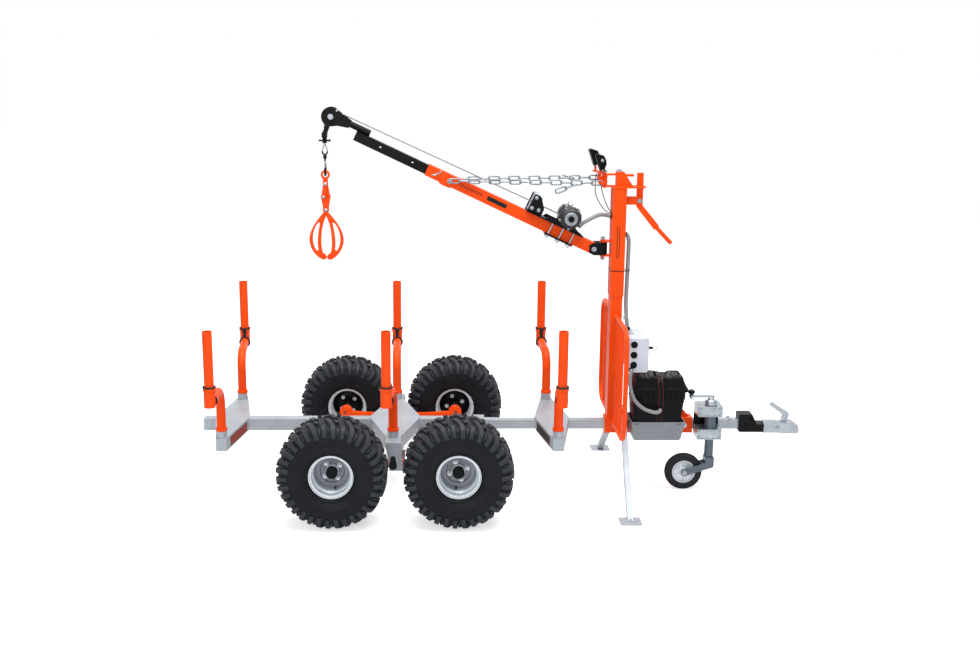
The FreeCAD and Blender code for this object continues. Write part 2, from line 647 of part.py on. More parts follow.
def winch():
    """Winch on its plate, clamped round the boom by six bolts and a lower plate."""
    half = boom_size / 2
    plate = box(-416, -86, -62, 62, half + 0.2, half + 8)
    flange = side_plate([(-86, half), (-130, half + 24), (-300, half + 24), (-312, half + 4)], -62, -58)
    under = box(-276, -114, -52, 52, -half - 8.2, -half - 0.2)
    bolts = []
    for s in (133, 195, 257):
        for side in (-1, 1):
            bolts.append(rod((-s, side * (half + 8), -half - 18), (-s, side * (half + 8), half + 9), 4.0))
    mount = fused(plate, flange, mirrored(flange), under, *bolts)
    s, z = winch_s, half + 8.2 + 60
    housing = [rod((-s, y0, z), (-s, y1, z), r) for y0, y1, r in (
        (-102, -63, 58), (-132, -101, 51), (-143, -131, 34), (-149, -142, 16), (63, 142, 46), (141, 149, 30), (-70, 70, 26))]
    for turn in range(5):
        a = math.radians(72 * turn + 22)
        x, lift = -s + 56 * math.sin(a), z + 56 * math.cos(a)
        housing.append(rod((x, -106, lift), (x, -66, lift), 8.5))
    for x, lift in ((-34, 44), (30, 47)):
        housing.append(rod((x - s, -70, z + lift), (x - s, 70, z + lift), 4.5))
    for side in (-1, 1):
        housing.append(side_plate([(-s - 45, half + 8.2), (-s - 43, z - 30), (-s - 22, z - 6), (-s + 22, z - 6),
                                   (-s + 43, z - 30), (-s + 45, half + 8.2)], side * 50.5 - 6.5, side * 50.5 + 6.5))
    unit = fused(*housing)
    cheek = [(-414, half + 8.2), (-414, half + 96), (-408, half + 103), (-384, half + 103), (-372, half + 96),
             (-336, half + 48), (-336, half + 8.2)]
    guide = [box(-414, -336, -69, 69, half + 8.2, half + 13)]
    for side in (-1, 1):
        guide.append(side_plate(cheek, side * 66.5 - 3, side * 66.5 + 3))
        guide.append(rod((-398, side * 38, half + 12), (-398, side * 38, half + 102), 11.5))
    for lift in (28.5, 85.5):
        guide.append(rod((-372, -64, half + lift), (-372, 64, half + lift), 11.0))
    guide.append(box(-410, -386, -64, 64, half + 98.5, half + 103))
    guide = fused(*guide)
    return {"winch_mount": on_boom(mount), "winch": on_boom(unit), "fairlead": on_boom(guide)}


def hoist_rope():
    """The rope's run on the outer boom, and its last stretch over the sheave."""
    radius, lay_h = rope_radius, sheave_h + sheave_radius - 2
    foot = boom_point(winch_s + 34, 86)
    top = boom_point(rope_break_s, 86 + (lay_h - 86) * (rope_break_s - winch_s - 34) / (sheave_s - winch_s - 34))
    head = boom_point(rope_break_s + slide_back + 12, lay_h)
    centre = boom_point(sheave_s, sheave_h)
    lift = sheave_radius - 2
    over = (centre[0] + lift * math.sin(math.radians(boom_angle)), 0,
            centre[2] + lift * math.cos(math.radians(boom_angle)))
    return {"rope_run": rod(foot, top, radius), "rope_head": rod(head, over, radius)}


def chain_link(centre, along, flat, pitch):
    """One chain link: a long ring, lying in the plane of its length and the flat direction."""
    half_gap = 7.0
    normal = along.cross(flat)

    def plate(grow):
        a, b = pitch / 2 + 0.4 + grow, half_gap + grow
        points = [(a, b), (-a, b), (-a, -b), (a, -b)]
        corners = [centre + along * p + flat * q - normal * (chain_wire / 2) for p, q in points]
        return Part.Face(Part.makePolygon(corners + corners[:1])).extrude(normal * chain_wire)

    return plate(chain_wire).cut(plate(0.0))


def chains():
    """Two stay chains from the swinging lug down to the boom."""
    foot = V(*boom_point(chain_foot_s, 0))
    links = []
    for side in (-1, 1):
        top = V(chain_top_x, 0, lug_z + side * chain_step)
        run = foot.sub(top)
        along = V(run).normalize()
        upright = along.cross(V(0, 1, 0)).normalize()
        pitch = (run.Length + 2 * chain_pin + 0.6) / chain_links
        start = top + V(0, side * chain_y, 0) + along * (pitch / 2 - chain_pin - 0.3)
        for i in range(chain_links):
            flat = V(0, 1, 0) if i % 2 else upright
            links.append(chain_link(start + along * (pitch * i), along, flat, pitch))
    return {"stay_chains": Part.makeCompound(links)}


def lock_lever():
    """Hand lever that frees the slewing lock, on its pin beside the mast."""
    x = lever_pivot[0]
    lever = side_plate([(x - 16, 1713), (x + 18, 1713), (x + 18, 1542), (x + 110, 1432), (x + 84, 1412),
                        (x - 10, 1528), (x - 16, 1540)], -4, 4)
    grip = rod((x + 92, 0, 1428), (x + 176, 0, 1340), 11)
    lever = fused(lever, grip)
    return {"lock_lever": lever.cut(rod((x, -20, lever_pivot[1]), (x, 20, lever_pivot[1]), 6.05))}


def work_lights():
    """Two lamps, and the bar that holds them above the swinging lug."""
    shells = []
    stems = []
    for side, x, z in ((-1, slew_x - 22, lamp_z), (1, slew_x - 46, lamp_z + 20)):
        y = side * 35
        outline = [(x - 18, z + 12), (x - 34, z + 96), (x - 12, z + 102), (x + 22, z + 66), (x + 28, z + 26),
                   (x + 8, z + 6)]
        shells.append(side_plate(outline, y - 30, y + 30))
        stems.append(rod((x, y, lamp_z - 4), (x, y, z + 5.8), 6.0))
    bracket = box(slew_x - 34, slew_x - 22, -30, 30, lug_z - 5, lamp_z + 1)
    foot = flat_plate([(slew_x - 60, 56), (slew_x - 34, 56), (slew_x - 8, -56), (slew_x - 34, -56)], lamp_z - 6, lamp_z)
    return Part.makeCompound(shells), fused(bracket, foot, *stems)


def hanger():
    """Rope guide on the sheave's axle, and the rope's eye with its swivel collar."""
    sheave_x, _, sheave_z = boom_point(sheave_s, sheave_h)
    x = grapple_x
    straps = []
    for side in (-1, 1):
        y = side * 25
        straps.append(bar((sheave_x, y, sheave_z), (x, y, 1915), 5, 22))
        straps.append(rod((sheave_x, y - 2.5, sheave_z), (sheave_x, y + 2.5, sheave_z), 16))
    yoke = box(x - 13, x + 13, -27.5, 27.5, 1898, 1922)
    tube = rod((x, 0, 1868), (x, 0, 1920), 12)
    cross = rod((x - 32, 12, 1880), (x + 30, 12, 1880), 4.5)
    guide = fused(yoke, tube, cross, *straps)
    guide = guide.cut(rod((x, 0, 1800), (x, 0, 1990), 9.0))
    guide = guide.cut(rod((sheave_x, -50, sheave_z), (sheave_x, 50, sheave_z), sheave_pin + running_gap))
    fall = rod((x, 0, 1862), (x, 0, 1960), rope_radius)
    legs = [rod((x, 0, 1864), (x + d, 0, 1822), rope_radius) for d in (-12, 12)]
    thimble = swept([(x - 12, 0, 1823), (x - 12, 0, 1806), (x + 12, 0, 1806), (x + 12, 0, 1823)], 9.0, 3.5)
    collar = rod((x, 0, 1786), (x, 0, 1807), 9.0).cut(rod((x, 0, 1780), (x, 0, 1801), 5.0 + running_gap))
    eye = fused(fall, thimble, collar, *legs)
    return {"rope_guide": guide, "rope_eye": eye}


def grapple():
    """Snap hook, ring head and log tongs on their four-bar links."""
    x = grapple_x
    rise = math.sqrt(link_length ** 2 - link_spread ** 2)
    top_z, mid_z = tong_pivot_z + 2 * rise, tong_pivot_z + rise
    hook = fused(rod((x, 0, 1766), (x, 0, 1800.5), 5.0),
                 swept([(x, 0, 1768), (x, -15, 1768), (x, -15, 1707), (x, 15, 1707), (x, 15, 1768),
                        (x, 0, 1768)][:-1] + [(x, 1, 1768)], 9.0, 4.5))
    ring_z = 1703.0
    head = fused(rod((x, -5.7, ring_z), (x, 5.7, ring_z), 24), rod((x, -5.7, top_z), (x, 5.7, top_z), 14),
                 box(x - 13, x + 13, -5.7, 5.7, top_z, ring_z - 12))
    head = head.cut(rod((x, -30, ring_z), (x, 30, ring_z), 13))
    head = fused(head, rod((x, -17, top_z), (x, 17, top_z), 5.0))
    nodes = {"snap_hook": hook, "grapple_head": head, "tong_pin": rod((x, -12, tong_pivot_z), (x, 12, tong_pivot_z), 5.0)}
    for name, sign in (("front", 1), ("rear", -1)):
        pin_x = x - sign * link_spread
        y0, y1 = sorted((-sign * 0.3, -sign * 5.7))
        runs = [[(12, -12), (45, -52), (79, -108), (91, -155), (80, -207), (48, -250), (23, -266)],
                [(23, -266), (7, -263), (0, -252)], [(0, -252), (8, -238), (20, -230)],
                [(20, -230), (26, -205), (28, -160), (21, -95), (2, -36)], [(2, -36), (-12, -14)], [(-12, -14), (12, -12)]]
        window = [[(42, -68), (60, -96), (73, -150), (66, -195), (53, -219)], [(53, -219), (46, -214), (45, -206)],
                  [(45, -206), (47, -165), (44, -130), (35, -78)], [(35, -78), (36, -69), (42, -68)]]
        jaw, slot = [[[(x + sign * a, tong_pivot_z + b) for a, b in run] for run in edge] for edge in (runs, window)]
        jaw = curved_plate(jaw, y0, y1).cut(curved_plate(slot, y0 - 1, y1 + 1))
        arm = bar((x, (y0 + y1) / 2, tong_pivot_z), (pin_x, (y0 + y1) / 2, mid_z), y1 - y0, 26)
        eyes = [rod((cx, y0, cz), (cx, y1, cz), r) for cx, cz, r in ((x, tong_pivot_z, 17), (pin_x, mid_z, 14))]
        tong = fused(jaw, arm, *eyes)
        tong = tong.cut(rod((x, -30, tong_pivot_z), (x, 30, tong_pivot_z), 5.0 + running_gap))
        nodes["tong_" + name] = tong.cut(rod((pin_x, -30, mid_z), (pin_x, 30, mid_z), 8.5))
        y2, y3 = sorted((-sign * 6.3, -sign * 11.5))
        link = fused(bar((x, (y2 + y3) / 2, top_z), (pin_x, (y2 + y3) / 2, mid_z), y3 - y2, 22),
                     rod((x, y2, top_z), (x, y3, top_z), 13), rod((pin_x, y2, mid_z), (pin_x, y3, mid_z), 13))
        link = link.cut(rod((x, -30, top_z), (x, 30, top_z), 5.0 + running_gap))
        nodes["link_" + name] = fused(link, rod((pin_x, -sign * 0.3, mid_z), (pin_x, -sign * 14, mid_z), 5.0))
    return nodes


def conduits():
    """Ribbed hoses from mast to control box, control box to battery and winch to mast, and the lamp leads."""
    x1 = mast_x + mast_length / 2
    down = swept([(x1 + 0.3, -20, 1390), (x1 + 24, -20, 1390), (x1 + 19, -26, 1050), (x1 + 34, -62, 925),
                  (x1 + 34, -62, 882.3)], 20.0, 11.0)
    lead = swept([(x1 + 36, -250.3, 716), (x1 + 36, -282, 716), (x1 + 60, -282, 560), (x1 + 183, -282, 490),
                  (x1 + 183, -230.3, 490)], 18.0, 10.0)
    start = boom_point(winch_s - 72, 74, -60)
    up = swept([start, (start[0] + 46, -44, start[2] + 42), (slew_x - 14, -8, 1496), (slew_x + 29, 0, 1480)],
               60.0, 11.0)
    leads = [swept([(slew_x - 47, side * 22, lamp_z - 6.3), (slew_x - 51, side * 22, 1650), (slew_x - 44, side * 20, 1590),
                    (slew_x - 8, side * 11, 1530), (slew_x + 20, side * 6, 1504)], 30.0, 2.2) for side in (-1, 1)]
    return {"chassis_conduits": Part.makeCompound([down, lead]), "winch_conduit": up,
            "lamp_leads": Part.makeCompound(leads)}


def main():
    os.makedirs("parts", exist_ok=True)
    nodes = {}
    for group in (beams, bunks_and_stakes, axle_beam, running_gear, mast, headboard, equipment, jockey, coupling,
                  slewing, boom, winch, hoist_rope, chains, lock_lever, hanger, grapple, conduits):
        nodes.update(group())
    nodes["leg_right"] = leg(-1)
    nodes["leg_left"] = leg(1)
    for name, shape in nodes.items():
        if not shape.isValid():
            print("invalid", name)
        shape.exportStep("parts/%s.step" % name)
        print(name, len(shape.Solids), round(shape.Volume / 1e3))


main()
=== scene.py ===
from math import copysign, cos, exp, hypot, pi, radians, sin, sqrt

import bpy
from mathutils import Matrix, Vector


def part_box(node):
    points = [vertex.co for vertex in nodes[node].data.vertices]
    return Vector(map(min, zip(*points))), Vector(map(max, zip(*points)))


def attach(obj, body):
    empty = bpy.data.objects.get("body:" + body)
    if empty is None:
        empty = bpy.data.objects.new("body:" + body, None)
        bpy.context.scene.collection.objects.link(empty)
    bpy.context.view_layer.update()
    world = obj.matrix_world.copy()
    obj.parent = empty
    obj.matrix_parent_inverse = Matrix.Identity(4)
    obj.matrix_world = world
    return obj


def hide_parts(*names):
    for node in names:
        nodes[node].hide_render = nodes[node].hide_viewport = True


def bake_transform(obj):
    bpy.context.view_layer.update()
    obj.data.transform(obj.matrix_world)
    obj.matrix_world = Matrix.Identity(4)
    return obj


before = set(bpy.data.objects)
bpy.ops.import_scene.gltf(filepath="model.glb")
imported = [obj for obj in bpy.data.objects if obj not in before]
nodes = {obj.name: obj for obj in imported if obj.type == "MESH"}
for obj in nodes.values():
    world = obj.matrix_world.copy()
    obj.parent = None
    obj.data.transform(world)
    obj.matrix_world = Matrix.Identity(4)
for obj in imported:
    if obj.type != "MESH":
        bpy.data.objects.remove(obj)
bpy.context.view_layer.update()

camera = {"place": (-0.374, -6.370, 2.354), "pitchDown": 12.93, "lens": 44.52, "shiftX": 0.0578, "clipEnd": 200}
light = {"sky": 0.46, "overheadWatts": 330, "frontWatts": 85, "floor": "#F4F5F6", "floorGlow": 0.58}

bogieX = -0.565
slewX = bogieX + 1.090
luffX, luffZ, boomAngle = bogieX + 1.040, 1.314, radians(25.3)
sheaveS, sheaveH = 1.543, 0.034
grappleX = luffX - 1.4155
mastFront = 0.637
tongZ, linkLength, linkSpread = 1.518, 0.070, 0.012
sides = (("right", -1), ("left", 1))
boomFrame = Matrix.Translation((luffX, 0, luffZ)) @ Matrix.Rotation(boomAngle, 4, "Y")
upright = Matrix.Rotation(pi / 2, 4, "X")  # stands a turned shape on Z


def boomPoint(s, h, y=0.0):  # s along the boom from its luffing pin, h above its middle line
    return Vector((luffX - s * cos(boomAngle) + h * sin(boomAngle), y, luffZ + s * sin(boomAngle) + h * cos(boomAngle)))


def place(item):
    bpy.context.collection.objects.link(item)
    return item


def addCamera():
    data = bpy.data.cameras.new("camera")
    data.lens, data.shift_x, data.clip_end = camera["lens"], camera["shiftX"], camera["clipEnd"]
    item = place(bpy.data.objects.new("camera", data))
    item.location = camera["place"]
    item.rotation_euler = (radians(90 - camera["pitchDown"]), 0, 0)
    bpy.context.scene.camera = item


def addSoftbox(name, spot, target, size, watts):
    data = bpy.data.lights.new(name, "AREA")
    data.shape = "RECTANGLE"
    data.size, data.size_y = size
    data.energy = watts
    item = place(bpy.data.objects.new(name, data))
    item.location = spot
    item.rotation_euler = (Vector(target) - Vector(spot)).to_track_quat("-Z", "Y").to_euler()


def linear(hexCode):  # sRGB hex to linear RGBA
    channels = [int(hexCode[i:i + 2], 16) / 255 for i in (1, 3, 5)]
    return tuple(c / 12.92 if c <= 0.04045 else ((c + 0.055) / 1.055) ** 2.4 for c in channels) + (1.0,)


def addNode(tree, kind, inputs=None, **settings):
    node = tree.nodes.new("ShaderNode" + kind)
    for name, value in settings.items():
        setattr(node, name, value)
    for socket, value in (inputs or {}).items():
        if isinstance(value, bpy.types.Node):
            value = value.outputs[0]
        if isinstance(value, bpy.types.NodeSocket):
            tree.links.new(value, node.inputs[socket])
        else:
            node.inputs[socket].default_value = value
    return node


def emptyTree(owner):
    owner.use_nodes = True
    owner.node_tree.nodes.clear()
    return owner.node_tree


# Materials: each makes the patterns its real surface has, and finished() turns them into colour, gloss and relief

def newMaterial(name):
    material = bpy.data.materials.new(name)
    tree = emptyTree(material)
    return material, tree, addNode(tree, "TexCoord").outputs["Object"]


def finished(material, dark, pale, shade, rough=None, relief=None, **values):
    tree = material.node_tree
    tone = addNode(tree, "Mix", {"Factor": shade, 6: linear(dark), 7: linear(pale)}, data_type="RGBA")
    values["Base Color"] = tone.outputs[2]
    if rough:  # (pattern, roughness where it is low, where it is high, the pattern's range)
        source, low, high, bottom, top = rough
        limits = {"From Min": bottom, "From Max": top, "To Min": low, "To Max": high}
        values["Roughness"] = addNode(tree, "MapRange", {"Value": source, **limits})
    if relief:  # (pattern, depth in metres, strength)
        height, depth, strength = relief
        values["Normal"] = addNode(tree, "Bump", {"Height": height, "Distance": depth, "Strength": strength})
    shader = addNode(tree, "BsdfPrincipled", {name.replace("_", " "): value for name, value in values.items()})
    addNode(tree, "OutputMaterial", {"Surface": shader})
    return material


def powderCoat(name, dark, pale, roughness, gloss):  # polyester powder baked on steel: even colour, soft gloss
    material, tree, spot = newMaterial(name)
    film = addNode(tree, "TexNoise", {"Vector": spot, "Scale": 1 / 0.25, "Detail": 3.0})
    rub = addNode(tree, "TexNoise", {"Vector": spot, "Scale": 1 / 0.06, "Detail": 3.0})  # handling marks
    peel = addNode(tree, "TexNoise", {"Vector": spot, "Scale": 1 / 0.012})  # 2 mm peel drawn as 12 mm
    return finished(material, dark, pale, film, (rub, roughness - 0.05, roughness + 0.07, 0.3, 0.7),
        (peel, 0.0006, 0.12),
                    IOR=1.5, Specular_IOR_Level=gloss)


def galvanised(name, dark, pale):  # dipped in molten zinc, which freezes in flat 14 mm crystals
    material, tree, spot = newMaterial(name)
    crystals = addNode(tree, "TexVoronoi", {"Vector": spot, "Scale": 1 / 0.014})
    grey = addNode(tree, "RGBToBW", {"Color": crystals.outputs["Color"]})
    runs = addNode(tree, "TexNoise", {"Vector": spot, "Scale": 1 / 0.16, "Detail": 4.0})  # drained zinc
    both = addNode(tree, "Mix", {"Factor": 0.8, 2: grey, 3: runs}, data_type="FLOAT")
    return finished(material, dark, pale, both, (grey, 0.38, 0.5, 0.0, 1.0), (runs, 0.0005, 0.2), Metallic=0.3)


def zincPlated(name, dark, pale, roughness, metal):  # electroplated and passivated: bright, with a faint haze
    material, tree, spot = newMaterial(name)
    haze = addNode(tree, "TexNoise", {"Vector": spot, "Scale": 1 / 0.05, "Detail": 4.0})
    grain = addNode(tree, "TexNoise", {"Vector": spot, "Scale": 1 / 0.015, "Detail": 3.0})
    return finished(material, dark, pale, haze, (grain, roughness - 0.06, roughness + 0.08, 0.3, 0.7), Metallic=metal)


def mouldedPlastic(name, dark, pale, roughness, gloss):
    # injection moulded: flat colour under a fine spark-eroded grain
    material, tree, spot = newMaterial(name)
    drift = addNode(tree, "TexNoise", {"Vector": spot, "Scale": 1 / 0.12, "Detail": 3.0})
    spark = addNode(tree, "TexNoise", {"Vector": spot, "Scale": 1 / 0.004})  # 0.3 mm drawn coarser to show
    return finished(material, dark, pale, drift, None, (spark, 0.0004, 0.15), Roughness=roughness, IOR=1.5,
                    Specular_IOR_Level=gloss)


def vulcanisedRubber(name, dark, pale, roughness, gloss):  # moulded in a steel die: dull black that greys where it rubs
    material, tree, spot = newMaterial(name)
    dust = addNode(tree, "TexNoise", {"Vector": spot, "Scale": 1 / 0.05, "Detail": 5.0, "Roughness": 0.65})
    pores = addNode(tree, "TexNoise", {"Vector": spot, "Scale": 1 / 0.006, "Detail": 3.0})  # die texture
    return finished(material, dark, pale, dust, (dust, roughness - 0.07, roughness + 0.1, 0.3, 0.7),
        (pores, 0.0005, 0.2),
                    IOR=1.52, Specular_IOR_Level=gloss)


def paintedCasting(name, dark, pale):  # sand-cast aluminium under black paint: pebbled, half gloss
    material, tree, spot = newMaterial(name)
    sand = addNode(tree, "TexNoise", {"Vector": spot, "Scale": 1 / 0.005, "Detail": 3.0})  # 1 mm as 5 mm
    return finished(material, dark, pale, sand, None, (sand, 0.0008, 0.3), Roughness=0.4, IOR=1.5)


def wovenWebbing(name, dark, pale):
    # polypropylene yarn woven in a flat band: ribbed, no gloss, 2 mm picks drawn as 4 mm
    material, tree, spot = newMaterial(name)
    rows = addNode(tree, "TexWave", {"Vector": spot, "Scale": 1 / 0.008}, bands_direction="Z").outputs["Fac"]
    return finished(material, dark, pale, rows, None, (rows, 0.0005, 0.4), Roughness=0.8, Sheen_Weight=0.1)


def vinylFilm(name, dark, pale):  # calendered film stuck on the paint: thin, even, slightly glossy
    material, tree, spot = newMaterial(name)
    fade = addNode(tree, "TexNoise", {"Vector": spot, "Scale": 1 / 0.04, "Detail": 4.0})
    return finished(material, dark, pale, fade, (fade, 0.3, 0.45, 0.0, 1.0), IOR=1.46, Specular_IOR_Level=0.3)


def strandedSteel(name, dark, pale):  # drawn wires laid up in a helix: fine slanting lines, 6 mm between strands
    material, tree, spot = newMaterial(name)
    turned = addNode(tree, "Mapping", {"Vector": spot, "Rotation": (0.6, 0.4, 0.8)})
    lay = addNode(tree, "TexWave", {"Vector": turned, "Scale": 1 / 0.012}).outputs["Fac"]
    return finished(material, dark, pale, lay, None, (lay, 0.0008, 0.5), Metallic=0.6, Roughness=0.45)


def lampGlass(name, dark, pale):  # clear polycarbonate over the lamp's reflector: sharp reflections, 10 mm lens ribs
    material, tree, spot = newMaterial(name)
    prisms = addNode(tree, "TexWave", {"Vector": spot, "Scale": 1 / 0.01}, bands_direction="Y").outputs["Fac"]
    return finished(material, dark, pale, prisms, Roughness=0.08, IOR=1.58, Coat_Weight=0.6, Coat_Roughness=0.05)


orange = powderCoat("orange powder coat", "#E63F04", "#F9540E", 0.36, 0.16)
blackCoat = powderCoat("black powder coat", "#07080A", "#121317", 0.38, 0.12)
zincDip = galvanised("hot dip galvanised steel", "#8B9299", "#BCC3CA")
# darker zinc: the battery tray's weathered sheet, and painted shade on the wheel discs inside their barrels
zincWeatheredAndShade = galvanised("weathered galvanised sheet and painted shade", "#6E747A", "#8B9197")
zincBright = zincPlated("bright zinc plate", "#959CA4", "#B9C0C7", 0.25, 0.7)
chainZinc = zincPlated("chain zinc", "#666D75", "#9AA1A9", 0.3, 0.7)
slateZinc = zincPlated("dark zinc plate", "#454E58", "#646E79", 0.36, 0.5)
rimSteel = zincPlated("rim silver", "#C0C7CE", "#E4E9EE", 0.3, 0.2)
tyreRubber = vulcanisedRubber("tyre rubber", "#090A0C", "#1B1E23", 0.46, 0.13)
# lighter than the tyre rubber: painted sheen on the tread lugs
treadSheenRubber = vulcanisedRubber("tread rubber with painted sheen", "#14161A", "#2E333B", 0.55, 0.3)
softRubber = vulcanisedRubber("strap rubber", "#131417", "#26282C", 0.6, 0.2)
boxWhite = mouldedPlastic("pale grey ABS", "#B9C0CC", "#CDD3DE", 0.38, 0.3)
boxBlack = mouldedPlastic("black polypropylene", "#050607", "#0F1114", 0.34, 0.1)
darkCast = paintedCasting("black painted casting", "#0A0B0D", "#1C1E23")
hoseGrey = mouldedPlastic("grey ribbed PVC", "#77797B", "#94969A", 0.5, 0.3)
blankPlate = vinylFilm("black blank film", "#0E0D0C", "#201D1A")
plateOrange = vinylFilm("rust blank film", "#7E2410", "#A23A18")
strapRed = wovenWebbing("red webbing", "#5A1510", "#8A241A")
ropeSteel = strandedSteel("stranded steel rope", "#5C6066", "#8E9298")
glass = lampGlass("lamp glass", "#B9C4CA", "#E6EDF0")

cadFinishes = {
    zincDip: "main_beam drawbar bunks axle_beam leg_right leg_left",
    zincWeatheredAndShade: "battery_tray",
    slateZinc: "jockey_fork jockey_tube",
    zincBright: "jockey_clamp coupling_head sheave tong_pin",
    orange: "stake_arms stake_uppers bogie_right bogie_left mast_base mast_column mast_head headboard boom_outer "
            "lock_lever grapple_head tong_front tong_rear link_front link_rear slew_lug",
    blackCoat: "slew_bracket boom_inner winch_mount rope_guide snap_hook coupling_adapter",
    ropeSteel: "rope_eye",
}


# Shapes: each is (points, faces)

def mm(*rows):  # tables of lengths are given in millimetres
    return [tuple(v / 1000 for v in row) for row in rows]


def joined(*shapes):
    points, faces = [], []
    for somePoints, someFaces in shapes:
        start = len(points)
        points += somePoints
        faces += [tuple(i + start for i in face) for face in someFaces]
    return points, faces


def moved(shape, matrix):
    return [matrix @ Vector(p) for p in shape[0]], shape[1]


def at(x, y, z):
    return Matrix.Translation((x, y, z))


def around(radius, turn, y=0.0):  # a point on a circle about Y
    return Vector((radius * sin(turn), y, radius * cos(turn)))


def circle(radius, count):  # pairs on a circle
    return [(radius * cos(2 * pi * i / count), radius * sin(2 * pi * i / count)) for i in range(count)]


def mirrored(pairs, side):
    return [(a, side * b) for a, b in pairs]


def skin(rows, width, closed, capped):  # quads between rows of equal width; closed joins the last row to the first
    faces = []
    for i in range(rows if closed else rows - 1):
        here, there = i * width, (i + 1) % rows * width
        faces += [(here + j, here + (j + 1) % width, there + (j + 1) % width, there + j) for j in range(width)]
    if capped:
        faces += [tuple(reversed(range(width))), tuple(range((rows - 1) * width, rows * width))]
    return faces


def lathe(profile, turns=48, closed=False):  # (radius, y) revolved about Y; an open profile gets end discs
    points = [around(r, 2 * pi * i / turns, y) for i in range(turns) for r, y in profile]
    count = len(profile)
    if closed:
        return points, skin(turns, count, True, False)
    faces = []
    for i in range(turns):
        here, there = i * count, (i + 1) % turns * count
        faces += [(here + j, here + j + 1, there + j + 1, there + j) for j in range(count - 1)]
    return points, faces + [tuple(i * count for i in range(turns)),
        tuple(i * count + count - 1 for i in reversed(range(turns)))]


def tube(path, radius, facets=12, closed=False, ribs=None):  # ribs: radius by distance along the path
    path = [Vector(p) for p in path]
    points, count, previous, run = [], len(path), None, 0.0
    for i, spot in enumerate(path):
        after = path[(i + 1) % count] if closed or i < count - 1 else spot
        before = path[i - 1] if closed or i > 0 else spot
        along = (after - before).normalized()
        side = (along.orthogonal() if previous is None else previous - along * previous.dot(along)).normalized()
        previous = side
        other = along.cross(side)
        run += (spot - path[i - 1]).length if i else 0
        points += [spot + side * a + other * b for a, b in circle(ribs(run) if ribs else radius, facets)]
    return points, skin(count, facets, closed, not closed)


def smoothPath(corners, steps=10):  # points of a Catmull-Rom curve through the corners
    corners = [Vector(c) for c in corners]
    ends = [2 * corners[0] - corners[1]] + corners + [2 * corners[-1] - corners[-2]]
    path = []
    for a, b, c, d in zip(ends, ends[1:], ends[2:], ends[3:]):
        for t in [i / steps for i in range(steps)]:
            path.append(0.5 * (2 * b + (c - a) * t + (2 * a - 5 * b + 4 * c - d) * t * t
                               + (3 * b - a - 3 * c + d) * t ** 3))
    return path + [corners[-1]]


def block(x0, x1, y0, y1, z0, z1):
    points = [Vector((x, y, z)) for x in (x0, x1) for y in (y0, y1) for z in (z0, z1)]
    return points, [(0, 1, 3, 2), (4, 6, 7, 5), (0, 4, 5, 1), (2, 3, 7, 6), (0, 2, 6, 4), (1, 5, 7, 3)]


def plate(outline, y0, y1):  # an X-Z outline between two values of Y
    count = len(outline)
    points = [Vector((x, y, z)) for y in (y0, y1) for x, z in outline]
    faces = [tuple(range(count)), tuple(reversed(range(count, 2 * count)))]
    return points, faces + [(i, i + count, (i + 1) % count + count, (i + 1) % count) for i in range(count)]


def loft(rings, flip=False):  # closed rings of equal count, capped at both ends
    faces = skin(len(rings), len(rings[0]), False, True)
    return [Vector(p) for ring in rings for p in ring], [tuple(reversed(f)) for f in faces] if flip else faces


def roundedPairs(a0, a1, b0, b1, radius, steps=5):
    pairs = []
    for a, b, start in ((a1 - radius, b1 - radius, 0), (a0 + radius, b1 - radius, 1), (a0 + radius, b0 + radius, 2),
                        (a1 - radius, b0 + radius, 3)):
        for turn in [pi / 2 * (start + i / steps) for i in range(steps + 1)]:
            pairs.append((a + radius * cos(turn), b + radius * sin(turn)))
    return pairs


def roundedRing(x0, x1, y0, y1, z, radius, steps=5):
    return [(x, y, z) for x, y in roundedPairs(x0, x1, y0, y1, radius, steps)]


def cylinder(start, end, radius, facets=24):
    return tube([start, end], radius, facets)


def hexBolt(spot, axis, across=0.013, head=0.006):  # a hexagon head and its bolt's end, on a washer
    axis, spot = Vector(axis).normalized(), Vector(spot)
    base = spot + axis * 0.0015
    top = base + axis * head
    return joined(cylinder(spot, base, across * 0.78, 20), cylinder(base, top, across / 2 / cos(pi / 6), 6),
                  cylinder(top, base + axis * (head + 0.004), across * 0.3, 12))


def domeNut(spot, axis, radius=0.008, height=0.006):
    profile = [(radius, -0.001)] + [(radius * cos(pi / 2 * i / 5), height * sin(pi / 2 * i / 5)) for i in range(5)]
    turn = Vector(axis).normalized().to_track_quat("Y", "Z").to_matrix().to_4x4()
    return moved(lathe(profile + [(radius * 0.02, height)], 20), Matrix.Translation(spot) @ turn)


def bothSides(make, x, y, z, *sizes):  # a pair of bolts or nuts that face outwards
    return [make((x, side * y, z), (0, side, 0), *sizes) for side in (-1, 1)]


def smoothByAngle(item, degrees):
    item.data.shade_smooth()
    item.data.set_sharp_from_angle(angle=radians(degrees))


def addPiece(name, body, parts, smooth=50, replaces=(), bevel=0.0):  # parts: the shapes in each material
    mesh = bpy.data.meshes.new(name)
    finishes = list(parts)
    points, faces = joined(*[shape for shapes in parts.values() for shape in shapes])
    mesh.from_pydata([tuple(p) for p in points], [], faces)
    order = []
    for index, finish in enumerate(finishes):
        mesh.materials.append(finish)
        order += [index] * sum(len(shape[1]) for shape in parts[finish])
    mesh.polygons.foreach_set("material_index", order)
    mesh.validate()
    piece = place(bpy.data.objects.new(name, mesh))
    smoothByAngle(piece, smooth)
    if bevel:
        edge = piece.modifiers.new("softened edges", "BEVEL")
        edge.width, edge.segments, edge.angle_limit = bevel, 2, radians(40)
    if body:
        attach(piece, body)
    if replaces:
        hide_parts(*replaces)
    return piece


addCamera()
print("camera placed")

for finish, names in cadFinishes.items():
    for name in names.split():
        materials = nodes[name].data.materials
        materials.clear()
        materials.append(finish)
        smoothByAngle(nodes[name], 30)
print("construction dressed")


# Tyres: carcass of revolution with curved lugs that wrap over the shoulder

